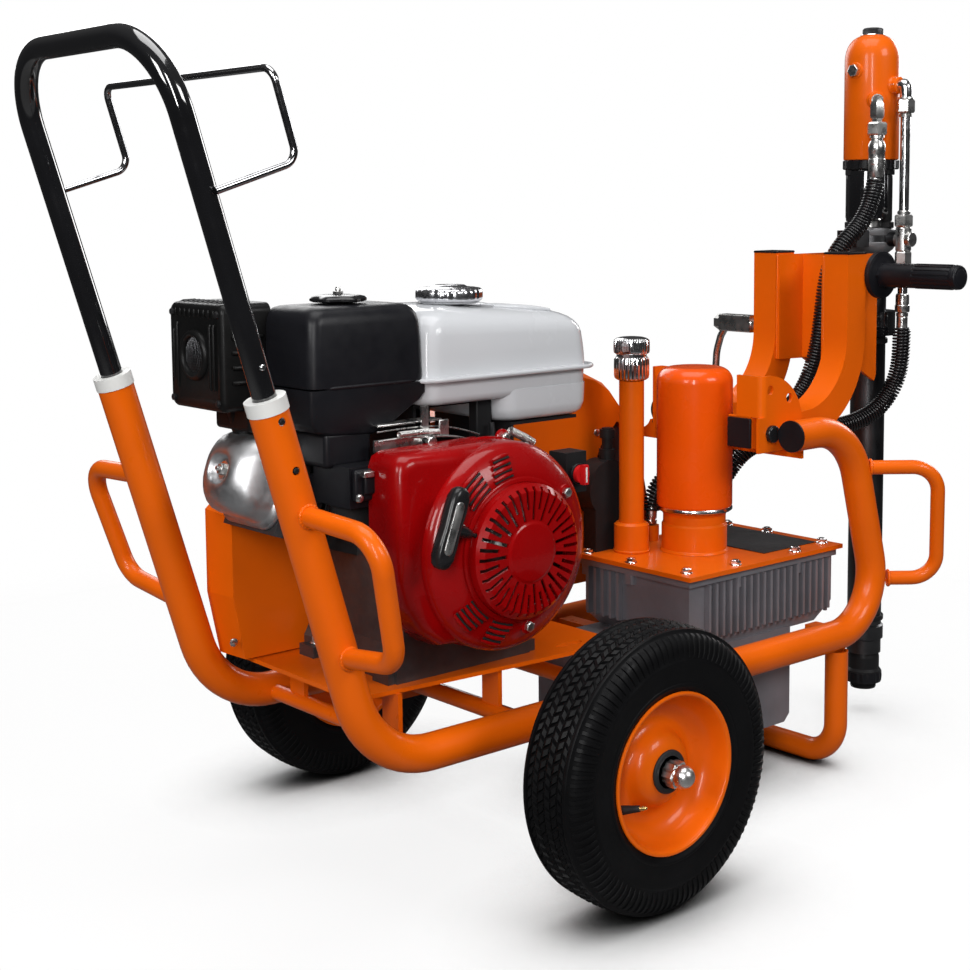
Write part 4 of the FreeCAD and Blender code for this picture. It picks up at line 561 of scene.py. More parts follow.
def join(name, parts):
    """One object from several, which keep their materials."""
    b = bmesh.new()
    mats = []
    for o in parts:
        dg = bpy.context.evaluated_depsgraph_get()
        m = bpy.data.meshes.new_from_object(o.evaluated_get(dg))
        idx = []
        for mm in o.data.materials:
            if mm not in mats:
                mats.append(mm)
            idx.append(mats.index(mm))
        start = len(b.faces)
        b.from_mesh(m)
        b.faces.ensure_lookup_table()
        for f in b.faces[start:]:
            f.material_index = idx[min(f.material_index, len(idx) - 1)]
        bpy.data.meshes.remove(m)
    body = parts[0].get("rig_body")
    me_ = bpy.data.meshes.new(name)
    b.to_mesh(me_)
    b.free()
    for mm in mats:
        me_.materials.append(mm)
    for o in parts:
        bpy.data.objects.remove(o)
    o = bpy.data.objects.new(name, me_)
    scene.collection.objects.link(o)
    if body:
        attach(o, body)
    return o


# -------------------------------------------------------------------- hoses
TIP = P(447, 38, 337) + Vector((0.36, -0.47, 0.81)).normalized() * 0.0182
PRESSURE = [P(772, -89, 628.9), P(772, -89, 580), P(771, -86, 540), P(762, -78, 508), P(740, -70, 482), P(704, -60, 466), P(660, -48, 459), P(612, -38, 455),
            P(566, -26, 453), P(530, -20, 449), P(501, -15, 440), P(482, -7, 419), P(472.2, 5.1, 393.7), TIP]
RETURN = [P(733.6, -66.4, 829.8), P(728, -64, 800), P(716, -61, 774), P(699, -56, 752), P(676, -50, 733), P(657, -44, 706), P(652, -38, 665), P(652, -33, 620), P(651, -27, 578),
          P(645, -18, 538), P(629, -11, 506), P(602, -7, 486), P(566, -4, 474), P(530, -1, 464), P(500, 7, 450), P(474, 26, 438), P(450, 48, 424), P(424, 67, 402),
          P(401.6, 77, 370), P(401.6, 77, 330.4)]


def smooth_line(name, control):
    """Points read from a NURBS spline whose control points are the route."""
    c = bpy.data.curves.new(name, "CURVE")
    c.dimensions = "3D"
    s = c.splines.new("NURBS")
    s.points.add(len(control) - 1)
    for p, q in zip(s.points, control):
        p.co = (*q, 1.0)
    s.order_u = 3
    s.use_endpoint_u = True
    c.resolution_u = 16
    o = bpy.data.objects.new(name, c)
    scene.collection.objects.link(o)
    bpy.context.view_layer.update()
    m = bpy.data.meshes.new_from_object(o.evaluated_get(bpy.context.evaluated_depsgraph_get()))
    pts = [v.co.copy() for v in m.vertices]
    bpy.data.meshes.remove(m)
    bpy.data.objects.remove(o)
    bpy.data.curves.remove(c)
    return pts


def even(pts, step):
    """The same line with points at even distances."""
    out, carry = [pts[0]], 0.0
    for a, b in zip(pts, pts[1:]):
        d = (b - a).length
        s = step - carry
        while s <= d:
            out.append(a + (b - a) * (s / d))
            s += step
        carry = d - (s - step)
    if (out[-1] - pts[-1]).length > step * 0.3:
        out.append(pts[-1])
    return out


def coil(name, pts, r, wire, pitch, mat, seg=7, per_turn=14):
    """Round wire wound around a line, sizes in mm."""
    line = even(pts, pitch * MM / per_turn)
    fr = frames_along(line)
    path = []
    for i, (p, t, u, v) in enumerate(fr):
        a = 2 * math.pi * i / per_turn
        path.append(p + (u * math.cos(a) + v * math.sin(a)) * (r * MM))
    return tube(name, path, wire, mat, None, seg, smooth=60)


def part_of_line(pts, a, b):
    total = sum((q - p).length for p, q in zip(pts, pts[1:]))
    out, here = [], 0.0
    for p, q in zip(pts, pts[1:]):
        if a * MM <= here <= b * MM:
            out.append(p)
        here += (q - p).length
    if b * MM >= total:
        out.append(pts[-1])
    return out


def line_length(pts):
    return sum((q - p).length for p, q in zip(pts, pts[1:]))


hoses = []
for label, route, guard_a, guard_b, ferr in (("pressure_line", PRESSURE, 20, 492, 1), ("return_line", RETURN, 4, 664, 1)):
    pts = even(smooth_line(label, route), 0.004)
    L = line_length(pts)
    body_mesh = tube(label, pts, 6.9, "hose", None, 22)
    extra = []
    g = part_of_line(pts, guard_a, guard_b)
    spring = coil(label + "_guard", g, 11.9, 1.9, 4.8, "guard")
    extra.append(spring)
    # end ferrules: a crimped sleeve with a round collar, following the line
    for k, (a0, b0) in enumerate(((0.6, 26), (L / MM - 26, L / MM - 0.6))):
        q = part_of_line(even(pts, 0.0012), a0, b0)
        def prof(s, k=k):
            s = s if k == 0 else 1 - s
            if s < 0.24:
                return 8.9
            if s < 0.28:
                return 7.9
            return 8.35 + 0.22 * math.sin(s * 62)
        extra.append(tube(label + "_ferrule_%d" % (k + 1), q, 8.4, "zinc", None, 28, radius_at=prof))
    for piece in [body_mesh] + extra:
        for f in piece.data.polygons:
            f.use_smooth = True
        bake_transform(piece)
    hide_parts("pressure_hose" if label == "pressure_line" else "return_hose")
    hoses.append((label, L))


# ------------------------------------------------------------------- wheels
def tyre(side):
    name = "right" if side < 0 else "left"
    centre = P(0, side * 305, 165)
    axis = Vector((0, side, 0))
    half = [(89.2, 33.4), (89.6, 36.4), (91.6, 39.4), (94, 40.8), (97, 41.6), (98.4, 43.0), (101, 43.3), (102.4, 42.4), (108, 43.2), (116, 44.0), (124, 44.3), (126.5, 44.8), (128, 44.7), (129.6, 43.9),
            (138, 43.3), (144, 42.2), (149, 40.4), (153, 37.8), (156, 34.6), (158.4, 33.8), (160.8, 33.0), (161.8, 31.0), (161.4, 28.8), (159.0, 28.0), (159.6, 26.6), (160.3, 18), (160.6, 9), (160.6, 0)]
    prof = half + [(r, -h) for r, h in reversed(half[:-1])]
    o = lathe("tyre_%s_tread" % name, prof, centre, axis, "tyre", None, 160, 40)
    a, u, v = basis(axis)
    verts = [p.co.copy() for p in o.data.vertices]
    faces = [tuple(f.vertices) for f in o.data.polygons]

    def pt(r, h, t):
        return centre + a * (h * MM) + (u * math.cos(t) + v * math.sin(t)) * (r * MM)

    def rib(line, t0, t1, skew, rise, chamfer=0.16):
        """Raised bar that follows points (r, h) of the section between two angles."""
        start = len(verts)
        n = len(line)
        for q, (r, h) in enumerate(line):
            w = q / (n - 1)
            up_ = rise * (0.35 if q in (0, n - 1) else 1.0)
            pr, ph = line[max(0, q - 1)], line[min(n - 1, q + 1)]
            dr, dh = ph[0] - pr[0], ph[1] - pr[1]
            ln = math.hypot(dr, dh) or 1.0
            nr, nh = -dh / ln, dr / ln
            if nr * (r - 120) + nh * h < 0:
                nr, nh = -nr, -nh
            ta, tb = t0 + skew * w, t1 + skew * w
            tc = (tb - ta) * chamfer
            for tt, lift in ((ta, -0.8), (ta + tc, up_), (tb - tc, up_), (tb, -0.8)):
                verts.append(pt(r + nr * lift, h + nh * lift, tt))
        for q in range(n - 1):
            b_ = start + q * 4
            for c in range(3):
                faces.append((b_ + c, b_ + c + 1, b_ + c + 5, b_ + c + 4))
        faces.append((start + 3, start + 2, start + 1, start))
        e_ = start + (n - 1) * 4
        faces.append((e_, e_ + 1, e_ + 2, e_ + 3))

    n = 104
    step = 2 * math.pi / n
    for k in range(n):
        t = k * step
        for sg in (1, -1):
            rib([(130.6, sg * 43.7), (138, sg * 43.3), (144, sg * 42.2), (149, sg * 40.4), (153, sg * 37.8), (156.2, sg * 34.4)], t + 0.18 * step, t + 0.80 * step, sg * 0.10 * step, 1.7)
    n = 84
    step = 2 * math.pi / n
    rows = ((-26.4, -19.6), (-18.6, -10.2), (-9.2, -0.6), (0.6, 9.2), (10.2, 18.6), (19.6, 26.4))
    for k in range(n):
        for q, (h0, h1) in enumerate(rows):
            t = (k + (0.5 if q % 2 else 0.0)) * step
            hm = (h0 + h1) / 2
            rr = lambda h: 160.6 - 1.1 * (abs(h) / 26.4) ** 2
            rib([(rr(h0), h0), (rr(hm), hm), (rr(h1), h1)], t, t + 0.74 * step, (0.62 if q % 2 else -0.62) * step, 3.6 - 0.8 * (abs(hm) / 26.4), 0.12)
    bpy.data.objects.remove(o)
    o = add("tyre_%s_tread" % name, verts, faces, "tyre", "wheel_" + name, 40)
    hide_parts("tyre_" + name)
    # spun steel rim: rolled lip, deep bowl and a bell-shaped hub
    face = [(84.0, 29.0), (88.6, 35.6), (91.6, 38.8), (92.6, 40.8), (92.0, 42.6), (90.2, 43.2), (88.2, 42.4), (86.8, 40.0), (85.6, 35.0), (84.0, 28.0), (81.2, 20.5), (77.0, 14.2), (71.4, 9.4), (65.0, 6.6),
            (58.4, 5.8), (52.6, 6.8), (48.0, 9.4), (44.6, 13.4), (42.0, 18.0), (39.4, 22.0), (35.8, 25.2), (31.4, 27.6), (27.6, 29.0), (24.6, 30.0), (22.2, 30.2), (22.0, 27.0)]
    back = [(r, -h) for r, h in reversed(face)]
    o = lathe("rim_%s_pressing" % name, face + back, centre, axis, "orange", "wheel_" + name, 160, 42, close=True)
    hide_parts("rim_" + name)
    # hub: rubber seal
    hub = P(0, side * (305 + 30.2), 165)
    lathe("hub_seal_%s" % name, [(15.2, -3.0), (24.2, -0.4), (25.0, 0.8), (24.6, 2.6), (22.8, 3.4), (17.0, 3.0), (15.2, 2.0)], hub, axis, "gasket", "wheel_" + name, 64, 60, close=True)
    # valve stem with a brass tip
    ang = math.radians(206 if side < 0 else 150)
    ca = Vector((math.cos(ang), 0, math.sin(ang)))
    base = P(0, side * (305 + 22), 165) + ca * 0.0705
    d = (Vector((0, side, 0)) * 0.86 - ca * 0.5).normalized()
    stem = tube("valve_stem_%s" % name, [base - d * 0.004, base + d * 0.004, base + d * 0.010, base + d * 0.020], 4, "gasket", "wheel_" + name, 24,
                radius_at=lambda s: 5.6 - 2.0 * s)
    lathe("valve_tip_%s" % name, [(0, 28.5), (1.3, 28.5), (2.0, 27.6), (2.0, 24.6), (2.9, 24.0), (2.9, 19.2), (0, 19.2)], base, d, "brass", "wheel_" + name, 32, 40)


tyre(-1)
tyre(1)

# ---------------------------------------------------------------- the frame
LEG = (P(-408.4, 0, 604.8) - P(-282, 0, 190)).normalized()
for side, tag in ((-1, "right"), (1, "left")):
    # small pan-head screws in the uprights and the snap button of the handle
    for k, drop in enumerate((24, 78)):
        c = P(-408.4, side * 162, 604.8) - LEG * (drop * MM) + Vector((0, side * 0.0206, 0))
        lathe("upright_screw_%s_%d" % (tag, k), [(0, 0.6), (1.1, 0.6), (1.3, 1.2), (2.6, 1.0), (3.2, 0.4), (3.4, -0.9), (0, -0.9)], c, (0, side, 0), "black_satin", "cart", 32, 30)
    c = P(-408.4, side * 162, 604.8) + LEG * 0.034 + Vector((0, side * 0.0122, 0))
    lathe("snap_button_%s" % tag, [(0, 3.6), (2.4, 3.2), (3.4, 2.0), (3.6, 0), (3.6, -1.0), (0, -1.0)], c, (0, side, 0), "chrome", "handle", 32, 40)


def weld(name, pts, r, mat, body, closed=False):
    """Laid bead: overlapping ripples along a line, r in mm."""
    line = even([Vector(p) for p in pts], 0.0011)
    return tube(name, line, r, mat, body, 12, smooth=70, radius_at=lambda s: r * (1 + 0.16 * math.sin(s * len(line) * 1.9) + 0.05 * math.sin(s * len(line) * 0.43)))


def ring_line(centre, axis, r, squash=1.0, n=60, tilt=None):
    a, u, v = basis(axis)
    return [Vector(centre) + (u * math.cos(2 * math.pi * k / n) + v * math.sin(2 * math.pi * k / n) * squash) * (r * MM) for k in range(n + 1)]


# beads where the grab loops meet the side tubes
LOOPS = []
B_ = P(-282, 0, 190)
for side in (-1, 1):
    tag = "right" if side < 0 else "left"
    for k, (x, z) in enumerate(((-371, 481), (-323, 323))):
        c = P(x, side * 182.6, z)
        weld("rear_loop_bead_%s_%d" % (tag, k), ring_line(c, (0, side, 0.02), 11.4), 2.1, "orange", "cart")
F0, F1 = P(548.6, -162, 482), P(629, -162, 190)
fdir = (F0 - F1).normalized()
for k, z in enumerate((424, 259)):
    base = F1 + fdir * ((z / 1000.0 - F1.z) / fdir.z)
    d = Vector((math.cos(math.radians(40)), -math.sin(math.radians(40)), 0))
    weld("front_loop_bead_right_%d" % k, ring_line(base + d * 0.0212, d, 10.4), 2.0, "orange", "cart")
# beads along the box arms where the cheek plates meet them and round the open leg
for side, y in ((-1, -71.2), (1, 17.2)):
    weld("cheek_bead_%d" % (side + 1), [P(607.6, y + side * -1.2, 563), P(607.6, y + side * -1.2, 640), P(607.6, y + side * -1.2, 717)], 1.7, "orange", "yoke")
weld("bracket_bead", [P(396, -127.4, 458.7), P(425, -127.4, 458.7), P(456, -127.4, 458.7)], 1.6, "orange", "cart")
weld("leg_bead", [P(400.6, -112.4, 505.0), P(400.6, -92, 505.4), P(400.6, -72.4, 505.0)], 1.6, "orange", "yoke")
for side in (-1, 1):
    tag = "right" if side < 0 else "left"
    # beads that hold the saddles on the axle
    c = P(0, side * 162, 165)
    weld("saddle_bead_%s" % tag, [P(-28.5, side * 183, 186), P(0, side * 183.4, 186.4), P(28.5, side * 183, 186)], 1.9, "orange", "cart")
    # dome nut texture: thread end and washer
    hexagon("axle_nut_%s" % tag, P(0, side * (305 + 33.2), 165), (0, side, 0), 27.5, 16.2, "zinc", "cart", dome=13.5)
    lathe("axle_washer_%s" % tag, [(10.2, -2.6), (19.6, -2.6), (20.2, -2.0), (20.2, -0.6), (19.6, 0.0), (10.2, 0.0)], P(0, side * (305 + 33.3), 165), (0, side, 0), "zinc", "cart", 64, 30, close=True)

# ------------------------------------------------------------------ caps
# tank filler cap: fluted chrome disc with a raised centre
CAP = P(-35, 0, 0)
n_fl = 22
cap_prof = [(0, 697.4), (10, 697.8), (16, 699.0), (19, 699.0), (21, 697.8), (24, 696.6), (33, 696.0), (38, 695.0), (40.4, 692.8), (41, 689.6), (41, 684), (40.2, 681.4), (38.4, 679.6), (27, 679.4), (27, 684), (0, 684)]
fl = lambda i, t: 1 + (0.026 * (abs(math.sin(t * n_fl / 2)) - 0.5) if 7 <= i <= 12 else 0)
o = lathe("fuel_cap_fluted", cap_prof, CAP, (0, 0, 1), "cap_metal", "tank_cap", 264, 40, wobble=fl)
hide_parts("fuel_cap")

# reservoir filler cap: knurled ring on top, fluted collar below
FILL = P(326, 42, 0)
kn = lambda i, t: 1 + (0.018 * (1 if math.sin(t * 44) > 0 else -1) if 4 <= i <= 7 else (0.022 * math.sin(t * 26) if 12 <= i <= 15 else 0))
fill_prof = [(0, 611.5), (8, 611.4), (16, 610.6), (21.5, 609), (24.2, 606.6), (24.8, 603), (24.8, 592), (24.2, 589), (22.6, 587.6), (21.0, 587.0), (21.0, 583.4), (22.8, 582.6),
             (24.0, 580.0), (24.2, 572), (24.2, 558), (23.2, 553.6), (20.4, 551.2), (14, 550.4), (0, 550.4)]
o = lathe("fill_cap_knurled", fill_prof, FILL, (0, 0, 1), "chrome", "filler_cap", 352, 36, wobble=kn)
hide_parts("fill_cap")
# sockets and rings on the reservoir lid
lathe("fill_socket_ring", [(24.7, 308.2), (25.8, 309.4), (25.6, 311.2), (24.7, 312.0)], FILL, (0, 0, 1), "orange_sheet", "cart", 96, 60, close=True)
FILT = P(398, -11, 0)
lathe("filter_ring", [(46.6, 366.2), (51.0, 366.2), (53.2, 368.0), (53.4, 370.6), (52.0, 372.8), (46.6, 372.8)], FILT, (0, 0, 1), "cap_metal", "cart", 128, 40, close=True)
lathe("filter_foot_bead", [(45.8, 308.1), (48.4, 308.3), (47.6, 310.6), (45.8, 312.6)], FILT, (0, 0, 1), "orange", "cart", 128, 60, close=True)

# black anti-slip panel on the front half of the lid
pv = [P(446, -98, 308.3), P(560, -98, 308.3), P(560, 66, 308.3), P(446, 66, 308.3)]
o = add("lid_panel", pv + [p + Vector((0, 0, 0.0012)) for p in pv], [(3, 2, 1, 0), (4, 5, 6, 7), (0, 1, 5, 4), (1, 2, 6, 5), (2, 3, 7, 6), (3, 0, 4, 7)], "gasket", "cart", 30)
bevel(o, 0.0005, 2)

# screw heads with flange and hexagon
SCREWS = [(281, -104), (366, -115), (493, -115), (566, -104), (570, 0), (566, 74), (493, 80), (271, 74), (272, -10)]
for k, (x, y) in enumerate(SCREWS):
    c = P(x, y, 308.1)
    lathe("lid_screw_flange_%d" % k, [(0, 2.2), (6.2, 2.2), (8.2, 1.0), (8.6, 0.0), (0, 0.0)], c, (0, 0, 1), "chrome", "cart", 40, 30)
    hexagon("lid_screw_head_%d" % k, c + Vector((0, 0, 0.0018)), (0, 0, 1), 10.5, 4.6, "chrome", "cart", turn=17 * k, dome=0.9)

# ------------------------------------------------------------------ the pump
LX, LY = 772.0, -28.0
AX = P(LX, LY, 0)
# notched ring nut under the motor
nt_ = lambda i, t: 1 - (0.055 if (i in (1, 2, 3, 4) and (t * 9 / math.pi) % 1.0 < 0.34) else 0)
lathe("motor_ring_nut", [(30, 843.2), (40.2, 843.2), (41.8, 844.6), (41.8, 856.2), (40.4, 857.2), (30, 857.2)], AX, (0, 0, 1), "glossy_plastic", "yoke", 216, 25, close=True, wobble=nt_)
motor_prof = [(14.2, 857.4), (38.8, 857.4), (40.4, 858.0), (41.0, 859.6), (41.0, 1008), (40.4, 1014), (38.9, 1021), (36.4, 1027.6), (33.0, 1033.2), (28.6, 1037.8), (23.6, 1041.0), (20.4, 1042.4), (18.6, 1043.4), (0, 1043.4)]
o = lathe("motor_cylinder", motor_prof, AX, (0, 0, 1), "orange", "yoke", 144, 30)
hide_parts("hydraulic_motor")
lathe("motor_elbow_boss", [(0, 0), (14.6, 0), (14.0, 2.4), (12.8, 4.0), (12.6, 11.6), (11.4, 12.6), (0, 12.6)], P(LX, LY - 39.0, 967), (0, -1, 0), "orange", "yoke", 64, 30)
lathe("motor_plug_boss", [(0, 0), (12.4, 0), (11.8, 2.6), (11.0, 3.4), (0, 3.4)], P(LX - 39.0, LY, 990), (-1, 0, 0), "orange", "yoke", 64, 30)
hexagon("motor_plug", P(LX - 41.6, LY, 990), (-1, 0, 0), 16.5, 8.0, "zinc", "yoke", turn=8, hole=4.2)
lathe("motor_port_boss", [(0, 0), (14.0, 0), (13.2, 2.6), (11.8, 4.0), (11.8, 11.2), (0, 11.2)], P(LX - 27.5, LY - 27.5, 945), (-0.7071, -0.7071, 0), "orange", "yoke", 64, 30)
# half sleeve between the motor and the collar, open towards the bright rod
sv, sf = [], []
for q, (r, z) in enumerate(((33.5, 769), (36.0, 769), (36.8, 771), (36.8, 840), (36.0, 842), (33.5, 842))):
    for k in range(41):
        t = math.radians(28 + 232 * k / 40.0)
        sv.append(P(LX + r * math.cos(t), LY + r * math.sin(t), z))
for q in range(6):
    n_ = (q + 1) % 6
    for k in range(40):
        sf.append((q * 41 + k, q * 41 + k + 1, n_ * 41 + k + 1, n_ * 41 + k))
sf.append(tuple(q * 41 for q in range(6)))
sf.append(tuple(q * 41 + 40 for q in reversed(range(6))))
add("rod_sleeve", sv, sf, "black_gloss", "yoke", 40)
# chrome hexagon cap on top
hexagon("motor_top_hex", P(LX, LY, 1041.6), (0, 0, 1), 29.5, 12.6, "cap_metal", "yoke", turn=10, dome=1.6)
lathe("motor_top_washer", [(0, 1043.0), (17.6, 1043.0), (18.2, 1044.2), (17.6, 1045.2), (0, 1045.2)], AX, (0, 0, 1), "chrome", "yoke", 64, 40)
# collar with bolts below the tie rods
for k in range(3):
    ang = math.radians(30 + 120 * k)
    c = P(LX + 30 * math.cos(ang), LY + 30 * math.sin(ang), 0)
    for z, h in ((755.4, 9.0), (834.6, 8.6)):
        hexagon("tie_rod_nut_%d_%d" % (k, int(z)), c + Vector((0, 0, z * MM)), (0, 0, 1), 19.5, h, "black_satin", "yoke", turn=12 * k)
    tube("tie_rod_spacer_%d" % k, [c + Vector((0, 0, z * MM)) for z in (765, 767, 780, 795, 810, 825, 833, 834.4)], 8.2, "black_satin", "yoke", 36,
         radius_at=lambda s: 8.4 if 0.1 < s < 0.95 else 7.6)
# packing nut and shiny rod seal on the collar
lathe("packing_nut", [(10.2, 755.2), (21.5, 755.2), (22.5, 756.4), (22.5, 765.4), (21.0, 767.0), (16.0, 767.4), (14.0, 770.0), (10.2, 770.4)], AX, (0, 0, 1), "zinc", "yoke", 24, 25, close=True)
lathe("collar_shell", [(26.3, 716.0), (34.2, 722.0), (38.4, 728.0), (38.6, 733.0), (37.8, 734.2), (37.8, 744.0), (38.6, 745.2), (38.6, 752.0), (36.2, 755.2), (26.3, 755.2)],
      AX, (0, 0, 1), "collar_cast", "yoke", 96, 35, close=True)
# clamp bands around the lower cylinder
for z0 in (705.0, 579.0, 147.0):
    lathe("cylinder_band_%d" % int(z0), [(26.2, z0), (28.4, z0), (29.2, z0 + 1.0), (29.2, z0 + 7.0), (28.4, z0 + 8.0), (26.2, z0 + 8.0)], AX, (0, 0, 1), "black_satin", "yoke", 96, 30, close=True)
# foot valve: ribbed grip ring and strainer thread
wob_f = lambda i, t: 1 + (0.02 * math.sin(t * 18) if i in (1, 2, 3) else 0)
lathe("foot_grip", [(25.0, 50.0), (27.6, 50.0), (28.2, 56.0), (27.6, 64.0), (25.0, 64.0)], AX, (0, 0, 1), "black_plastic", "yoke", 216, 30, close=True, wobble=wob_f)
for k in range(5):
    lathe("foot_thread_%d" % k, [(18.9, 39.0 + 1.4 * k), (19.7, 39.6 + 1.4 * k), (18.9, 40.2 + 1.4 * k)], AX, (0, 0, 1), "black_satin", "yoke", 64, 60, close=True)
# bypass pipe: bright tube with nuts, a round elbow, a tee and a crimped end
PX, PY = LX, -89.0
o = tube("bypass_pipe", [P(PX, PY, z) for z in (629.5, 640, 700, 760, 820, 880, 930, 952)], 7.2, "cap_metal", "yoke", 40)
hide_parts("transfer_pipe")
tube("pipe_elbow", even(smooth_line("pipe_elbow_line", [P(PX, -66.5, 967), P(PX, -78, 967), P(PX, -88.5, 967.5), P(PX, -89.2, 957), P(PX, -89, 946)]), 0.0015), 9.2, "cap_metal", "yoke", 36,
     radius_at=lambda s_: 9.2 if s_ > 0.12 else 7.6)
hexagon("elbow_nut", P(PX, -77.0, 967), (0, 1, 0), 23.0, 8.0, "zinc", "yoke", turn=5)
lathe("elbow_collar", [(0, 0), (11.2, 0), (11.6, 1.0), (11.2, 3.0), (0, 3.0)], P(PX, PY, 945.4), (0, 0, 1), "zinc", "yoke", 48, 30)
hexagon("pipe_nut_high", P(PX, PY, 925.6), (0, 0, 1), 24.0, 19.6, "zinc", "yoke", turn=20)
lathe("pipe_olive_high", [(7.3, 0), (9.4, 0.6), (9.6, 4.0), (7.3, 6.4)], P(PX, PY, 919.4), (0, 0, 1), "zinc", "yoke", 48, 30, close=True)
hexagon("pipe_nut_low", P(PX, PY, 757.0), (0, 0, 1), 25.0, 18.0, "zinc", "yoke", turn=12)
lathe("pipe_olive_low", [(7.3, 6.4), (9.6, 4.0), (9.4, 0.6), (7.3, 0)], P(PX, PY, 775.2), (0, 0, 1), "zinc", "yoke", 48, 30, close=True)
lathe("tee_body", [(0, 0), (10.4, 0), (11.6, 1.4), (11.6, 34.0), (10.4, 36.0), (0, 36.0)], P(PX, PY, 720.6), (0, 0, 1), "zinc", "yoke", 40, 30)
lathe("tee_branch", [(0, 0), (10.6, 0), (10.6, 20.0), (12.4, 20.4), (12.8, 21.4), (12.8, 30.0), (12.0, 31.0), (0, 31.0)], P(PX, -84.0, 738), (0, 1, 0), "zinc", "yoke", 40, 30)
lathe("tee_boss", [(0, 0), (11.0, 0), (11.0, 7.4), (10.2, 8.6), (0, 8.6)], P(PX, -97.0, 738), (0, -1, 0), "zinc", "yoke", 48, 30)
hexagon("tee_nut", P(PX, PY, 700.4), (0, 0, 1), 22.0, 20.0, "zinc", "yoke", turn=18)
lathe("pipe_swage", [(7.3, 0), (10.2, 0), (11.0, 1.6), (11.0, 10.0), (10.0, 11.0), (10.0, 24.0), (9.2, 27.0), (7.3, 28.0)], P(PX, PY, 629.0), (0, 0, 1), "zinc", "yoke", 48, 30, close=True)
# motor port fitting with a pointed hexagon and a crimped sleeve for the return hose
PORT = P(LX - 27.5, LY - 27.5, 945)
pd = Vector((-0.7071, -0.7071, 0))
FC = P(733.6, -66.4, 0)
lathe("port_neck", [(7.0, 0), (9.6, 0), (10.4, 1.2), (10.4, 6.0), (8.6, 7.0), (8.6, 15.0), (7.0, 15.0)], PORT, pd, "zinc", "yoke", 48, 30, close=True)
lathe("port_banjo", [(0, 951.0), (4.2, 950.4), (10.2, 941.0), (11.2, 937.0), (11.2, 921.0), (9.8, 917.6), (8.0, 917.0), (8.0, 912.0), (0, 912.0)], FC, (0, 0, 1), "zinc", "yoke", 6, 20)
hexagon("port_hex_nut", FC + Vector((0, 0, 0.893)), (0, 0, 1), 27.0, 19.0, "zinc", "yoke", turn=12)
lathe("port_gland", [(0, 894.0), (10.4, 894.0), (10.8, 892.0), (10.8, 888.6), (9.2, 887.6), (9.2, 884.0), (0, 884.0)], FC, (0, 0, 1), "zinc", "yoke", 48, 30)
lathe("port_sleeve", [(8.0, 885.0), (10.4, 884.4), (12.7, 879.0), (12.9, 869.0), (12.2, 867.6), (12.2, 858.4), (12.8, 857.4), (12.8, 850.6), (12.2, 849.6), (12.2, 841.4), (11.2, 836.0), (9.4, 831.0), (7.2, 830.4)],
      FC, (0, 0, 1), "zinc", "yoke", 64, 30, close=True)

# handle that locks the pump in its clamp: ribs along the grip and rings on the boss
hx, hz = 678.0, 689.0
GR = P(hx, 0, hz)
rib = lambda i, t: 1 + (0.035 * (1 if math.sin(t * 16) > -0.2 else -1) if 2 <= i <= 4 else 0)
lathe("grip_ribs", [(15.0, 176.0), (16.6, 177.0), (17.4, 180.0), (17.4, 238.0), (16.6, 241.0), (15.0, 242.0)], P(hx, 0, hz), (0, -1, 0), "black_plastic", "clamp_lever", 256, 25, close=True, wobble=rib)
lathe("grip_end", [(0, 253.0), (10, 252.6), (14.6, 251.4), (16.8, 248.6), (17.6, 245.0), (17.2, 242.4), (0, 242.4)], P(hx, 0, hz), (0, -1, 0), "black_plastic", "clamp_lever", 96, 40)
lathe("boss_dish", [(0, 122.6), (22, 122.6), (24, 121.8), (31.5, 121.8), (34.0, 120.0), (34.6, 117.0), (34.0, 114.6), (0, 114.6)], P(hx, 0, hz), (0, -1, 0), "black_plastic", "clamp_lever", 128, 35)
hexagon("boss_bolt", P(hx, -122.4, hz), (0, -1, 0), 34, 5.5, "black_plastic", "clamp_lever", turn=0)

# ---------------------------------------------------------------- reservoir
# sight plug and drain plug
hexagon("drain_plug", P(236, -125.4, 96), (0, -1, 0), 19, 8, "black_satin", "cart", turn=14, dome=1.0)
hexagon("tank_side_plug", P(581.1, -44, 262), (1, 0, 0), 24, 8, "black_satin", "cart", turn=10, dome=1.2)

# ------------------------------------------------------------------- engine
def rrect(w, h, r, k=6):
    """Rounded rectangle, half sizes w and h, as (a, b) points in mm."""
    out = []
    for cx_, cy_, a0 in ((w - r, h - r, 0), (-(w - r), h - r, 90), (-(w - r), -(h - r), 180), (w - r, -(h - r), 270)):
        for q in range(k + 1):
            t = math.radians(a0 + 90.0 * q / k)
            out.append((cx_ + r * math.cos(t), cy_ + r * math.sin(t)))
    return out


def loft(name, origin, ea, eb, ed, rings, mat, body, smooth=35, cap0=True, cap1=True):
    """Skin over rings of equal count; each ring is (depth mm, [(a, b) mm])."""
    verts, faces = [], []
    n = len(rings[0][1])
    for d, ring in rings:
        for a_, b_ in ring:
            verts.append(origin + ea * (a_ * MM) + eb * (b_ * MM) + ed * (d * MM))
    for q in range(len(rings) - 1):
        for k in range(n):
            k2 = (k + 1) % n
            faces.append((q * n + k, q * n + k2, (q + 1) * n + k2, (q + 1) * n + k))
    if cap0:
        faces.append(tuple(reversed(range(n))))
    if cap1:
        faces.append(tuple((len(rings) - 1) * n + k for k in range(n)))
    return add(name, verts, faces, mat, body, smooth)


EX, EY, EZ = Vector((1, 0, 0)), Vector((0, 1, 0)), Vector((0, 0, 1))
tilt = math.radians(18.8)
CYL = Vector((-math.cos(tilt), 0, math.sin(tilt)))
CUP = Vector((math.sin(tilt), 0, math.cos(tilt)))
CRK = P(-80, 0, 404)

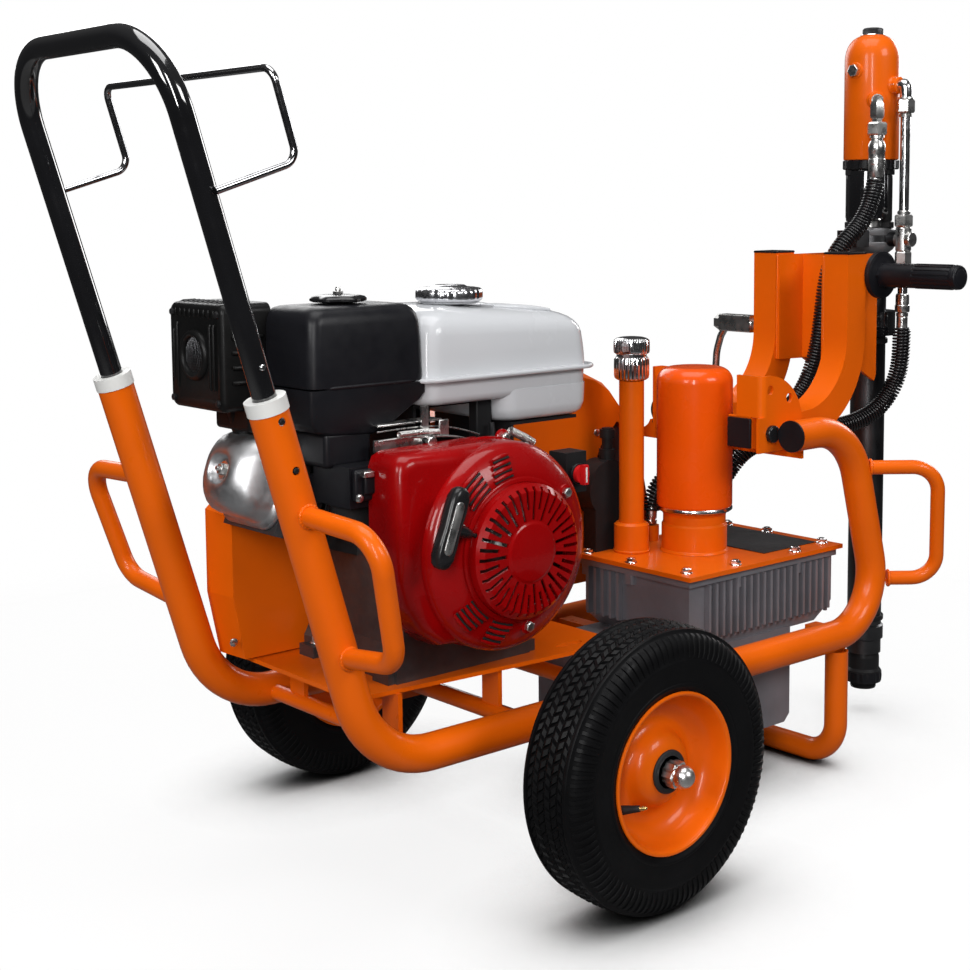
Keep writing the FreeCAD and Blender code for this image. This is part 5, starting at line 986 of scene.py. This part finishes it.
# pressed valve cover: rolled rim, deep rounded wall, dished middle with one nut
vc_o = CRK + Vector((0, 0.051, 0.001)) + CUP * 0.001
rings = [(214.3, rrect(53, 51, 22)), (217.0, rrect(53.4, 51.4, 22)), (219.6, rrect(52.6, 50.6, 22)), (220.8, rrect(49, 47, 22)), (223, rrect(47.6, 45.6, 23)), (238, rrect(46.4, 44.4, 24)), (246, rrect(44.6, 42.6, 25)),
         (252.5, rrect(41.4, 39.4, 26)), (257.5, rrect(37.4, 35.4, 26)), (261.5, rrect(32.6, 30.6, 25)), (264.2, rrect(27.6, 25.6, 22)), (265.6, rrect(23.2, 21.2, 19)), (266.0, rrect(20.4, 18.4, 17)),
         (265.2, rrect(18.4, 16.4, 15.6)), (262.0, rrect(16.4, 14.4, 14)), (259.0, rrect(14.6, 13.2, 13)), (257.8, rrect(12.4, 12.0, 11.8)), (257.6, rrect(6.0, 6.0, 5.8))]
rings = [(220.8 + (d - 220.8) * 1.17 if d > 222 else d, [(a_ * 1.09, b_ * 1.09) for a_, b_ in ring]) for d, ring in rings]
vc_o = vc_o + CUP * 0.006
vc_n = vc_o + CYL * 0.0064
o = loft("valve_cover_pressing", vc_o, EY, CUP, CYL, rings, "cover_silver", "cart", 50)
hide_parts("valve_cover")
lathe("valve_cover_washer", [(0, 258.0), (10.2, 258.0), (10.6, 258.8), (10.2, 260.0), (0, 260.0)], vc_n, CYL, "zinc", "cart", 48, 30)
hexagon("valve_cover_nut", vc_n + CYL * 0.2595, CYL, 12.5, 6.0, "zinc", "cart", turn=12, dome=0.8)
lathe("valve_cover_stud", [(0, 270.2), (2.4, 269.8), (2.9, 268.8), (2.9, 264), (0, 264)], vc_n, CYL, "zinc", "cart", 24, 30)

# muffler guard: pressed box with a ringed mesh outlet, stamped ribs and louvres
mo = P(-280, 80, 626.5)
rings = [(0, rrect(59, 61.5, 11)), (57, rrect(59, 61.5, 11)), (61, rrect(58.2, 60.7, 10.6)), (63.6, rrect(56.4, 58.9, 10)), (65, rrect(53.6, 56.1, 9)), (65, rrect(48, 50.5, 7)), (63.4, rrect(45.4, 47.9, 6))]
o = loft("muffler_guard", mo, EY, EZ, -EX, rings, "muffler", "cart", 40)
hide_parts("muffler")
oc = P(-343.4, 83, 628)
lathe("muffler_ring", [(20.4, -3), (21.0, 3.2), (22.6, 5.4), (25.4, 6.2), (27.6, 5.2), (29.2, 2.6), (29.8, 0), (29.8, -3)], oc, -EX, "muffler", "cart", 72, 50, close=True)
# Dark disc behind the outlet mesh: painted shade standing in for the inside of the outlet.
lathe("muffler_outlet_shade", [(0, -1.4), (20.8, -1.4), (20.8, -3.0), (0, -3.0)], oc, -EX, "seam", "cart", 48, 30)
mv, mf_ = [], []
pitch_ = 3.1
wires = []
for k in range(-6, 7):
    span = math.sqrt(max(0.0, 20.6 ** 2 - (k * pitch_) ** 2))
    if span < 4:
        continue
    for way in (0, 1):
        line = []
        for q in range(9):
            s_ = -span + 2 * span * q / 8
            a_, b_ = (k * pitch_, s_) if way else (s_, k * pitch_)
            dome = 3.4 * (1 - (a_ * a_ + b_ * b_) / 21.0 ** 2)
            line.append(oc + EY * (a_ * MM) + EZ * (b_ * MM) - EX * ((dome + (0.35 if way else -0.35)) * MM))
        wires.append(tube("outlet_wire_%d_%d" % (k + 6, way), line, 0.62, "pump_dark", None, 8))
o = join("muffler_mesh", wires)
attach(o, "cart")
ribs = []
for k, (y_, z0, z1) in enumerate(((41, 590, 664), (49, 590, 664), (121, 590, 664), (129, 598, 656))):
    ribs.append(tube("stamp_%d" % k, [P(-343.0, y_, z0), P(-344.2, y_, z0 + 3), P(-344.2, y_, z1 - 3), P(-343.0, y_, z1)], 2.3, "muffler", None, 14))
for k in range(9):
    ribs.append(tube("louvre_top_%d" % k, [P(-342.6, 40 + 10.4 * k, 672.4), P(-344.6, 40 + 10.4 * k, 674), P(-344.4, 40 + 10.4 * k, 679), P(-340, 40 + 10.4 * k, 685.6), P(-334, 40 + 10.4 * k, 688.0), P(-318, 40 + 10.4 * k, 688.2)], 2.0, "muffler", None, 10))
for k in range(4):
    ribs.append(tube("louvre_side_%d" % k, [P(-332, 20.8, 650 - 17 * k), P(-329, 19.4, 650 - 17 * k), P(-296, 19.4, 650 - 17 * k), P(-293, 20.8, 650 - 17 * k)], 2.4, "muffler", None, 12))
o = join("muffler_ribs", ribs)
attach(o, "cart")
for k, (y_, z_) in enumerate(((31, 576), (129, 576), (31, 676), (129, 676))):
    hexagon("muffler_screw_%d" % k, P(-344.8, y_, z_), -EX, 7.5, 3.0, "black_satin", "cart", turn=9 * k, dome=0.6)

# air cleaner: knob with lobes and a stud, a lip round the case
kn2 = lambda i, t: 1 + (0.085 * math.cos(6 * t) if 2 <= i <= 6 else 0)
o = lathe("cleaner_knob_lobed", [(3.7, 695.6), (12, 695.4), (23, 694.6), (28.4, 693.2), (30.6, 690.8), (30.4, 688.4), (27, 686.8), (13, 686.4), (12.2, 684.5), (3.7, 684.5)], P(-211, -14, 0), EZ, "glossy_plastic", "cleaner_knob", 180, 40,
          close=True, wobble=kn2)
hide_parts("air_cleaner_knob")
lathe("cleaner_stud", [(0, 704.6), (2.2, 704.2), (3.0, 703.0), (3.2, 700.6), (3.0, 690), (0, 690)], P(-211, -14, 0), EZ, "zinc", "cleaner_knob", 24, 30)
hexagon("cleaner_stud_nut", P(-211, -14, 695.6), EZ, 10.5, 3.6, "zinc", "cleaner_knob", turn=7)
rings = [(0, rrect(71.8, 56.4, 20)), (1.8, rrect(72.6, 57.2, 20.6)), (3.4, rrect(71.8, 56.4, 20))]
loft("cleaner_lip", P(-205.5, -14, 593.2), EX, EY, EZ, rings, "black_plastic", "cart")

# carburettor: black cover, float bowl, screws and fuel line
block("carb_cover", (-256, -104, 470), (-206, -95.6, 506), "black_plastic", "cart", 4.0, 4)
block("carb_step", (-246, -109, 478), (-222, -103.4, 500), "black_plastic", "cart", 3.0, 3)
for k, (x_, z_) in enumerate(((-250.5, 474.5), (-211.5, 474.5), (-211.5, 501.5))):
    lathe("carb_screw_%d" % k, [(0, 2.6), (2.8, 2.6), (4.4, 1.8), (5.0, 0), (0, 0)], P(x_, -103.8, z_), -EY, "zinc", "cart", 32, 30)
block("carb_bracket", (-250, -113.5, 498), (-236, -102.5, 505), "zinc", "cart", 1.2, 2)
lathe("carb_bowl", [(0, 430.5), (8, 430.8), (20, 432.0), (24.6, 435.4), (25.2, 441), (25.2, 458), (26.6, 459.4), (26.6, 462.6), (0, 462.6)], P(-228, -60, 0), EZ, "black_satin", "cart", 64, 35)
hexagon("carb_bowl_bolt", P(-228, -60, 431.4), -EZ, 11, 6, "zinc", "cart", turn=9)
tube("fuel_line", even(smooth_line("fuel_line_route", [P(-20, -60, 533), P(-20, -66, 515), P(-52, -76, 505), P(-110, -84, 506), P(-160, -88, 508), P(-196, -84, 498), P(-210, -78, 488)]), 0.004), 3.6, "hose", "cart", 18)

# throttle linkage over the blower: plate, rods and a coil spring
block("control_plate", (-206, -79.6, 546.6), (-112, -56, 549.0), "zinc", "cart", 0.9, 2)
block("control_tab", (-122, -86.8, 528), (-108, -84.4, 548.4), "zinc", "cart", 0.9, 2)
tube("throttle_rod", even(smooth_line("throttle_rod_route", [P(-212, -88, 532), P(-180, -89, 534), P(-120, -90, 530), P(-92, -90, 526), P(-72, -90, 519)]), 0.005), 1.5, "zinc", "cart", 12)
tube("governor_rod", even(smooth_line("governor_rod_route", [P(-206, -77.6, 541), P(-150, -77.6, 543), P(-90, -77.6, 537), P(-56, -80, 524)]), 0.005), 1.2, "zinc", "cart", 12)
o = coil("governor_spring", [P(-186, -92, 538), P(-150, -92, 538), P(-128, -92, 536)], 3.2, 0.55, 1.7, "zinc", 6, 12)
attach(o, "cart")
o = coil("return_spring", [P(-24, -98, 528), P(0, -98, 517), P(14, -98, 509)], 4.4, 0.8, 2.3, "zinc", 6, 12)
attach(o, "cart")
block("lever_stack", (-20, -100, 500), (8, -88, 512), "black_satin", "cart", 2.0, 3)
hexagon("housing_bolt_top", P(-10, -107, 506), -EY, 13, 7, "zinc", "cart", turn=10, dome=0.8)
hexagon("lever_pivot", P(-140, -90.5, 526), -EY, 12, 6, "zinc", "throttle", turn=5, dome=0.7)


# blower housing: bolted ears, louvres pressed into the cone, recoil screws
def on_cone(t, r, lift):
    """Point on the front of the housing at angle t and radius r."""
    prof = ((78, -177.9), (88, -177.9), (110, -172.1), (121, -158.1))
    for (r0, y0), (r1, y1) in zip(prof, prof[1:]):
        if r <= r1:
            w = (r - r0) / (r1 - r0)
            y_ = y0 + (y1 - y0) * w
            break
    return P(-80 + r * math.cos(t), y_ - lift, 404 + r * math.sin(t))


def louvre(name, r, t0, t1):
    """Pressed hood along an arc, with a near-black tube under it as painted shade in the slit."""
    top = [on_cone(t0 + (t1 - t0) * q / 10.0, r, 0.5) for q in range(11)]
    slit = [on_cone(t0 + (t1 - t0) * q / 10.0, r - 3.0, -0.1) for q in range(11)]
    ends = lambda s_: 2.6 * max(0.25, math.sin(math.pi * min(1, max(0, 0.06 + 0.88 * s_))) ** 0.4)
    # The slit tube is painted shade standing in for the opening under the hood.
    return tube(name + "_hood", top, 2.6, "red", None, 12, radius_at=ends), tube(name + "_slit", slit, 1.5, "seam", None, 8)


hoods, slits = [], []
for g, (a0, a1) in enumerate(((96, 114), (120, 142), (214, 236), (242, 262))):
    for k, r in enumerate((90, 97, 104, 111)):
        h_, s_ = louvre("louvre_%d_%d" % (g, k), r, math.radians(a0), math.radians(a1 - 2.0 * k))
        hoods.append(h_)
        slits.append(s_)
o = join("blower_hoods", hoods)
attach(o, "cart")
o = join("blower_slits", slits)
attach(o, "cart")
wobd = lambda i, t: 1.0
lathe("recoil_flange", [(78.4, -0.1), (82.6, 0.2), (84.0, 1.0), (84.0, 2.4), (82.4, 3.2), (78.4, 3.2)], P(-80, -177.6, 404), -EY, "red", "cart", 128, 50, close=True)
lathe("recoil_centre", [(0, 1.9), (31.5, 1.9), (33.6, 1.4), (34.6, 0.5), (36.2, 0.2), (36.2, -0.4), (0, -0.4)], P(-80, -199.0, 404), -EY, "red", "cart", 96, 40)
for k, deg in enumerate((38, 158, 278)):
    c = on_cone(math.radians(deg), 93, 0.3)
    hexagon("recoil_bolt_%d" % k, c, -EY, 11, 5.4, "zinc", "cart", turn=13 * k, dome=0.8)
    lathe("recoil_ear_%d" % k, [(0, -1.5), (9.4, -1.5), (9.0, 0.6), (7.8, 1.2), (0, 1.2)], on_cone(math.radians(deg), 93, 0.0), -EY, "red", "cart", 40, 40)
for k, deg in enumerate((12, 72, 192, 328)):
    c = P(-80 + 124 * math.cos(math.radians(deg)), -103.2, 404 + 124 * math.sin(math.radians(deg)))
    lathe("housing_ear_%d" % k, [(0, 0), (10, 0), (10, 3.2), (9, 4.2), (0, 4.2)], c, -EY, "red", "cart", 40, 40)
    hexagon("housing_bolt_%d" % k, c + Vector((0, -0.004, 0)), -EY, 11, 6, "zinc", "cart", turn=21 * k, dome=0.8)

# starter handle: moulded grip with a pale inlay
rope_d = Vector((-0.936, 0, 0.352))
acr = Vector((0.352, 0, 0.936))
hc = P(-80, -186.5, 404) + rope_d * 0.116
rings = []
for s_, w_, h_ in ((-46.5, 3, 3.5), (-45.5, 6, 6), (-42, 10, 8.2), (-34, 13.2, 9.2), (-20, 13.6, 9.4), (0, 12.6, 9.2), (20, 13.6, 9.4), (34, 13.2, 9.2), (42, 10, 8.2), (45.5, 6, 6), (46.5, 3, 3.5)):
    rings.append((s_, rrect(w_, h_, min(w_, h_) * 0.8, 5)))
o = loft("starter_grip", hc, rope_d, -EY, acr, rings, "glossy_plastic", "starter_pull", 50)
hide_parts("recoil_handle")
rings = [(0, rrect(6.2, 30, 5.4, 5)), (1.4, rrect(6.0, 29.8, 5.2, 5)), (2.0, rrect(5.2, 29, 4.6, 5))]
loft("starter_inlay", hc - EY * 0.0084 + rope_d * 0.002, rope_d, acr, -EY, rings, "zinc", "starter_pull")
lathe("starter_neck", [(7.6, 8), (7.0, 20), (5.6, 26), (4.4, 30), (2.3, 31), (2.3, 60)], hc, -rope_d, "glossy_plastic", "starter_pull", 32, 40)

# ignition switch: black body behind, white mark on the knob
block("switch_body", (50, -130.6, 461), (67, -108, 480), "black_plastic", "cart", 3.0, 3)
block("switch_mark", (56.9, -145.9, 461), (59.1, -144.9, 479), "white_plastic", "ignition_switch", 0.3, 2)
lathe("switch_collar", [(8, 0), (12.8, 0), (13.2, 1), (12.6, 2.4), (8, 2.4)], P(58, -130.8, 470), -EY, "black_plastic", "cart", 48, 40, close=True)

# tank: rolled seam, stamped ridges on the top, filler neck
rings = [(0, rrect(144.2, 99.6, 30)), (1.6, rrect(145.6, 101.0, 31)), (3.6, rrect(145.6, 101.0, 31)), (5.2, rrect(144.2, 99.6, 30))]
loft("tank_seam", P(3.5, 19, 590.4), EX, EY, EZ, rings, "white", "cart", 45)
lathe("tank_neck_ring", [(26.2, 676.6), (34, 676.6), (36.4, 677.4), (38.0, 679.0), (36.0, 679.4), (26.2, 679.2)], CAP, EZ, "white", "cart", 72, 40, close=True)
for k, (xa, ya, xb, yb) in enumerate(((14, -26, 92, -44), (14, 34, 92, 64), (18, 4, 98, 8))):
    tube("tank_ridge_%d" % k, [P(xa + (xb - xa) * q / 6.0, ya + (yb - ya) * q / 6.0, 675.6 - 0.094 * (xa + (xb - xa) * q / 6.0 + 30)) for q in range(7)], 4.2, "white", "cart", 20,
         radius_at=lambda s_: 4.2 * max(0.2, math.sin(math.pi * (0.05 + 0.9 * s_)) ** 0.5))

# belt guard: screws round the edge
for k, (x_, z_) in enumerate(((-288, 276), (-288, 500), (-180, 520), (20, 540), (180, 520), (320, 470))):
    lathe("guard_screw_%d" % k, [(0, 2.4), (2.6, 2.4), (4.8, 1.4), (5.4, 0), (0, 0)], P(x_, 105.8, z_), -EY, "zinc", "cart", 32, 30)

# feet of the engine: bolts through the plate, spring washers
for k, (x_, y_) in enumerate(((-190, -84), (6, -84), (-190, 72), (6, 72))):
    lathe("foot_washer_%d" % k, [(0, 0), (9.2, 0), (9.6, 0.6), (9.2, 1.6), (0, 1.6)], P(x_, y_, 264.8), EZ, "zinc", "cart", 40, 30)
    hexagon("foot_bolt_%d" % k, P(x_, y_, 266.2), EZ, 13, 7.4, "zinc", "cart", turn=11 * k, dome=0.8)

# blower housing: spun drum with rolled shoulders and the duct that leads to the cylinder
drum_prof = [(30, -99.0), (114, -99.0), (118.6, -99.6), (121.0, -101.6), (122.0, -105), (122.0, -148), (121.2, -153.5), (119.0, -158.4), (115.4, -162.6), (110.4, -166.4), (104, -170.2), (97, -173.6), (91, -176.0), (86, -177.4), (80, -177.9),
             (72, -177.9), (72, -174.8), (86, -174.4), (104, -167.2), (115, -158.6), (118.4, -150), (118.4, -106), (115, -102.4), (30, -102.4)]
o = lathe("blower_drum", [(r, -y) for r, y in drum_prof], P(-80, 0, 404), -EY, "red", "cart", 160, 50, close=True)
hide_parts("blower_housing")
hull = [(-80, 297), (-130, 296), (-172, 300), (-200, 322), (-220, 352), (-230, 386), (-233, 424), (-233, 508), (-228, 519), (-216, 524), (-150, 525), (-80, 526)]
cxm, czm = -120.0, 412.0
rings = []
for d, grow in ((-97, 0), (-132, 0), (-139, -1.2), (-145, -4.2), (-149, -8.6), (-151, -13.5), (-151.6, -19)):
    ring = []
    for x_, z_ in hull:
        dx, dz = x_ - cxm, z_ - czm
        ln = math.hypot(dx, dz)
        f_ = (ln + grow) / ln
        ring.append((cxm + dx * f_, czm + dz * f_))
    rings.append((d, ring))
o = loft("blower_duct", P(0, 0, 0), EX, EZ, EY, rings, "red", "cart", 60)
lathe("housing_seam", [(121.2, 112.0), (123.4, 112.6), (123.8, 114.0), (123.4, 115.4), (121.2, 116.0)], P(-80, 0, 404), -EY, "red", "cart", 160, 50, close=True)

# air cleaner case and its base
rings = [(595.0, rrect(80.0, 56.0, 13)), (600, rrect(80.4, 56.4, 13.4)), (640, rrect(79.6, 55.6, 14)), (664, rrect(78.6, 54.6, 15)), (672, rrect(77.0, 53.0, 16)), (678, rrect(73.8, 49.8, 16)), (681.6, rrect(69.6, 45.6, 15)),
         (683.6, rrect(64.4, 40.4, 14)), (684.4, rrect(58, 34, 12)), (684.8, rrect(30, 20, 9))]
o = loft("cleaner_case", P(-208, -14, 0), EX, EY, EZ, rings, "black_plastic", "cart", 50)
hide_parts("air_cleaner_cover")
base_line = [(-289, 593), (-289, 556), (-282, 546), (-262, 541), (-203, 538), (-180, 545), (-134, 573), (-127, 580), (-127, 593)]
rings = []
for d, inset in ((-69, 3.0), (-67.4, 1.0), (-65, 0.0), (34, 0.0), (37.6, 1.0), (39, 3.0)):
    rings.append((d, [(x_ + (inset if x_ < -205 else -inset), z_ + (inset if z_ < 560 else (0 if z_ > 590 else inset * 0.5))) for x_, z_ in base_line]))
o = loft("cleaner_base_pan", P(0, 0, 0), EX, EZ, EY, rings, "black_plastic", "cart", 40)
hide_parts("air_cleaner_base")
block("cleaner_neck", (-268, -66, 504), (-204, 10, 545), "black_plastic", "cart", 6.0, 4)

# heat shield under the muffler and the exhaust bend behind it
block("muffler_shield", (-312, 20, 540), (-272, 96, 569), "muffler", "cart", 5.0, 3)
tube("exhaust_bend", even(smooth_line("exhaust_route", [P(-300, 60, 566), P(-298, 60, 548), P(-288, 58, 530), P(-268, 52, 520), P(-248, 46, 516)]), 0.003), 15, "muffler", "cart", 30)

# fuel tank shell: crowned top that falls away towards the front, rolled lower half
def crown(rings, lean):
    out = []
    for z_, ring in rings:
        k_ = max(0.0, (z_ - 604.0) / 73.0)
        out.append([P(3.5 + a_, 19 + b_, z_ - k_ * (0.094 * max(0.0, 3.5 + a_ + 30) + 0.020 * abs(b_)) * lean) for a_, b_ in ring])
    return out


def skin(name, rows, mat, body, smooth=45):
    n = len(rows[0])
    faces = []
    for q in range(len(rows) - 1):
        for k in range(n):
            k2 = (k + 1) % n
            faces.append((q * n + k, q * n + k2, (q + 1) * n + k2, (q + 1) * n + k))
    faces.append(tuple(reversed(range(n))))
    faces.append(tuple((len(rows) - 1) * n + k for k in range(n)))
    return add(name, [p for r in rows for p in r], faces, mat, body, smooth)


rings = [(593.5, rrect(137, 92.5, 27, 9)), (596, rrect(136.4, 91.9, 27, 9)), (620, rrect(135.4, 90.9, 27, 9)), (645, rrect(133.6, 89.1, 28, 9)), (655, rrect(131.4, 86.9, 28, 9)), (663, rrect(127.0, 82.5, 28, 9)),
         (669, rrect(121.0, 76.5, 27, 9)), (673, rrect(113.6, 69.1, 26, 9)), (675.6, rrect(105, 60.5, 24, 9)), (676.8, rrect(94, 50, 20, 9)), (677.2, rrect(60, 30, 14, 9))]
o = skin("tank_upper_shell", crown(rings, 1.0), "white", "cart")
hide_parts("fuel_tank")
low = []
for z_, grow in ((594, 0), (572, -0.6), (566, -3.0), (562.4, -7.0), (561, -13)):
    low.append([P(3.5 + a_, 19 + b_, z_) for a_, b_ in rrect(135.5 + grow, 91 + grow, 26, 9)])
skin("tank_lower_shell", low, "white", "cart")
low = []
for z_, grow in ((572, 0), (548, -0.8), (538, -3.4), (533.6, -7.6), (532, -13)):
    low.append([P(64 + a_, 19 + b_, z_) for a_, b_ in rrect(75 + grow, 91 + grow, 24, 9)])
skin("tank_sump_shell", low, "white", "cart")
for k, y_ in enumerate((-52, 68)):
    block("tank_foot_%d" % k, (-36, y_, 500), (-12, y_ + 16, 563), "black_satin", "cart", 2.0, 2)

# black plate in the open rear end of the near yoke arm: painted shade standing in for the inside of the open tube
block("arm_end_shade_plate", (396.6, -113.0, 462.5), (400.6, -72.0, 503.5), "black_plastic", "yoke", 1.2, 3)

# rolled edges of box sections and sheets
for n_, w_ in (("yoke_arms", 3.4), ("yoke_cheeks", 0.8), ("pivot_bracket", 1.0), ("reservoir_lid", 0.8), ("engine_plate", 0.8), ("belt_guard", 1.0), ("tie_rods", 0.8)):
    m_ = nodes[n_].modifiers.new("edge", "BEVEL")
    m_.width = w_ * MM
    m_.segments = 3
    m_.limit_method = "ANGLE"
    m_.angle_limit = math.radians(50)
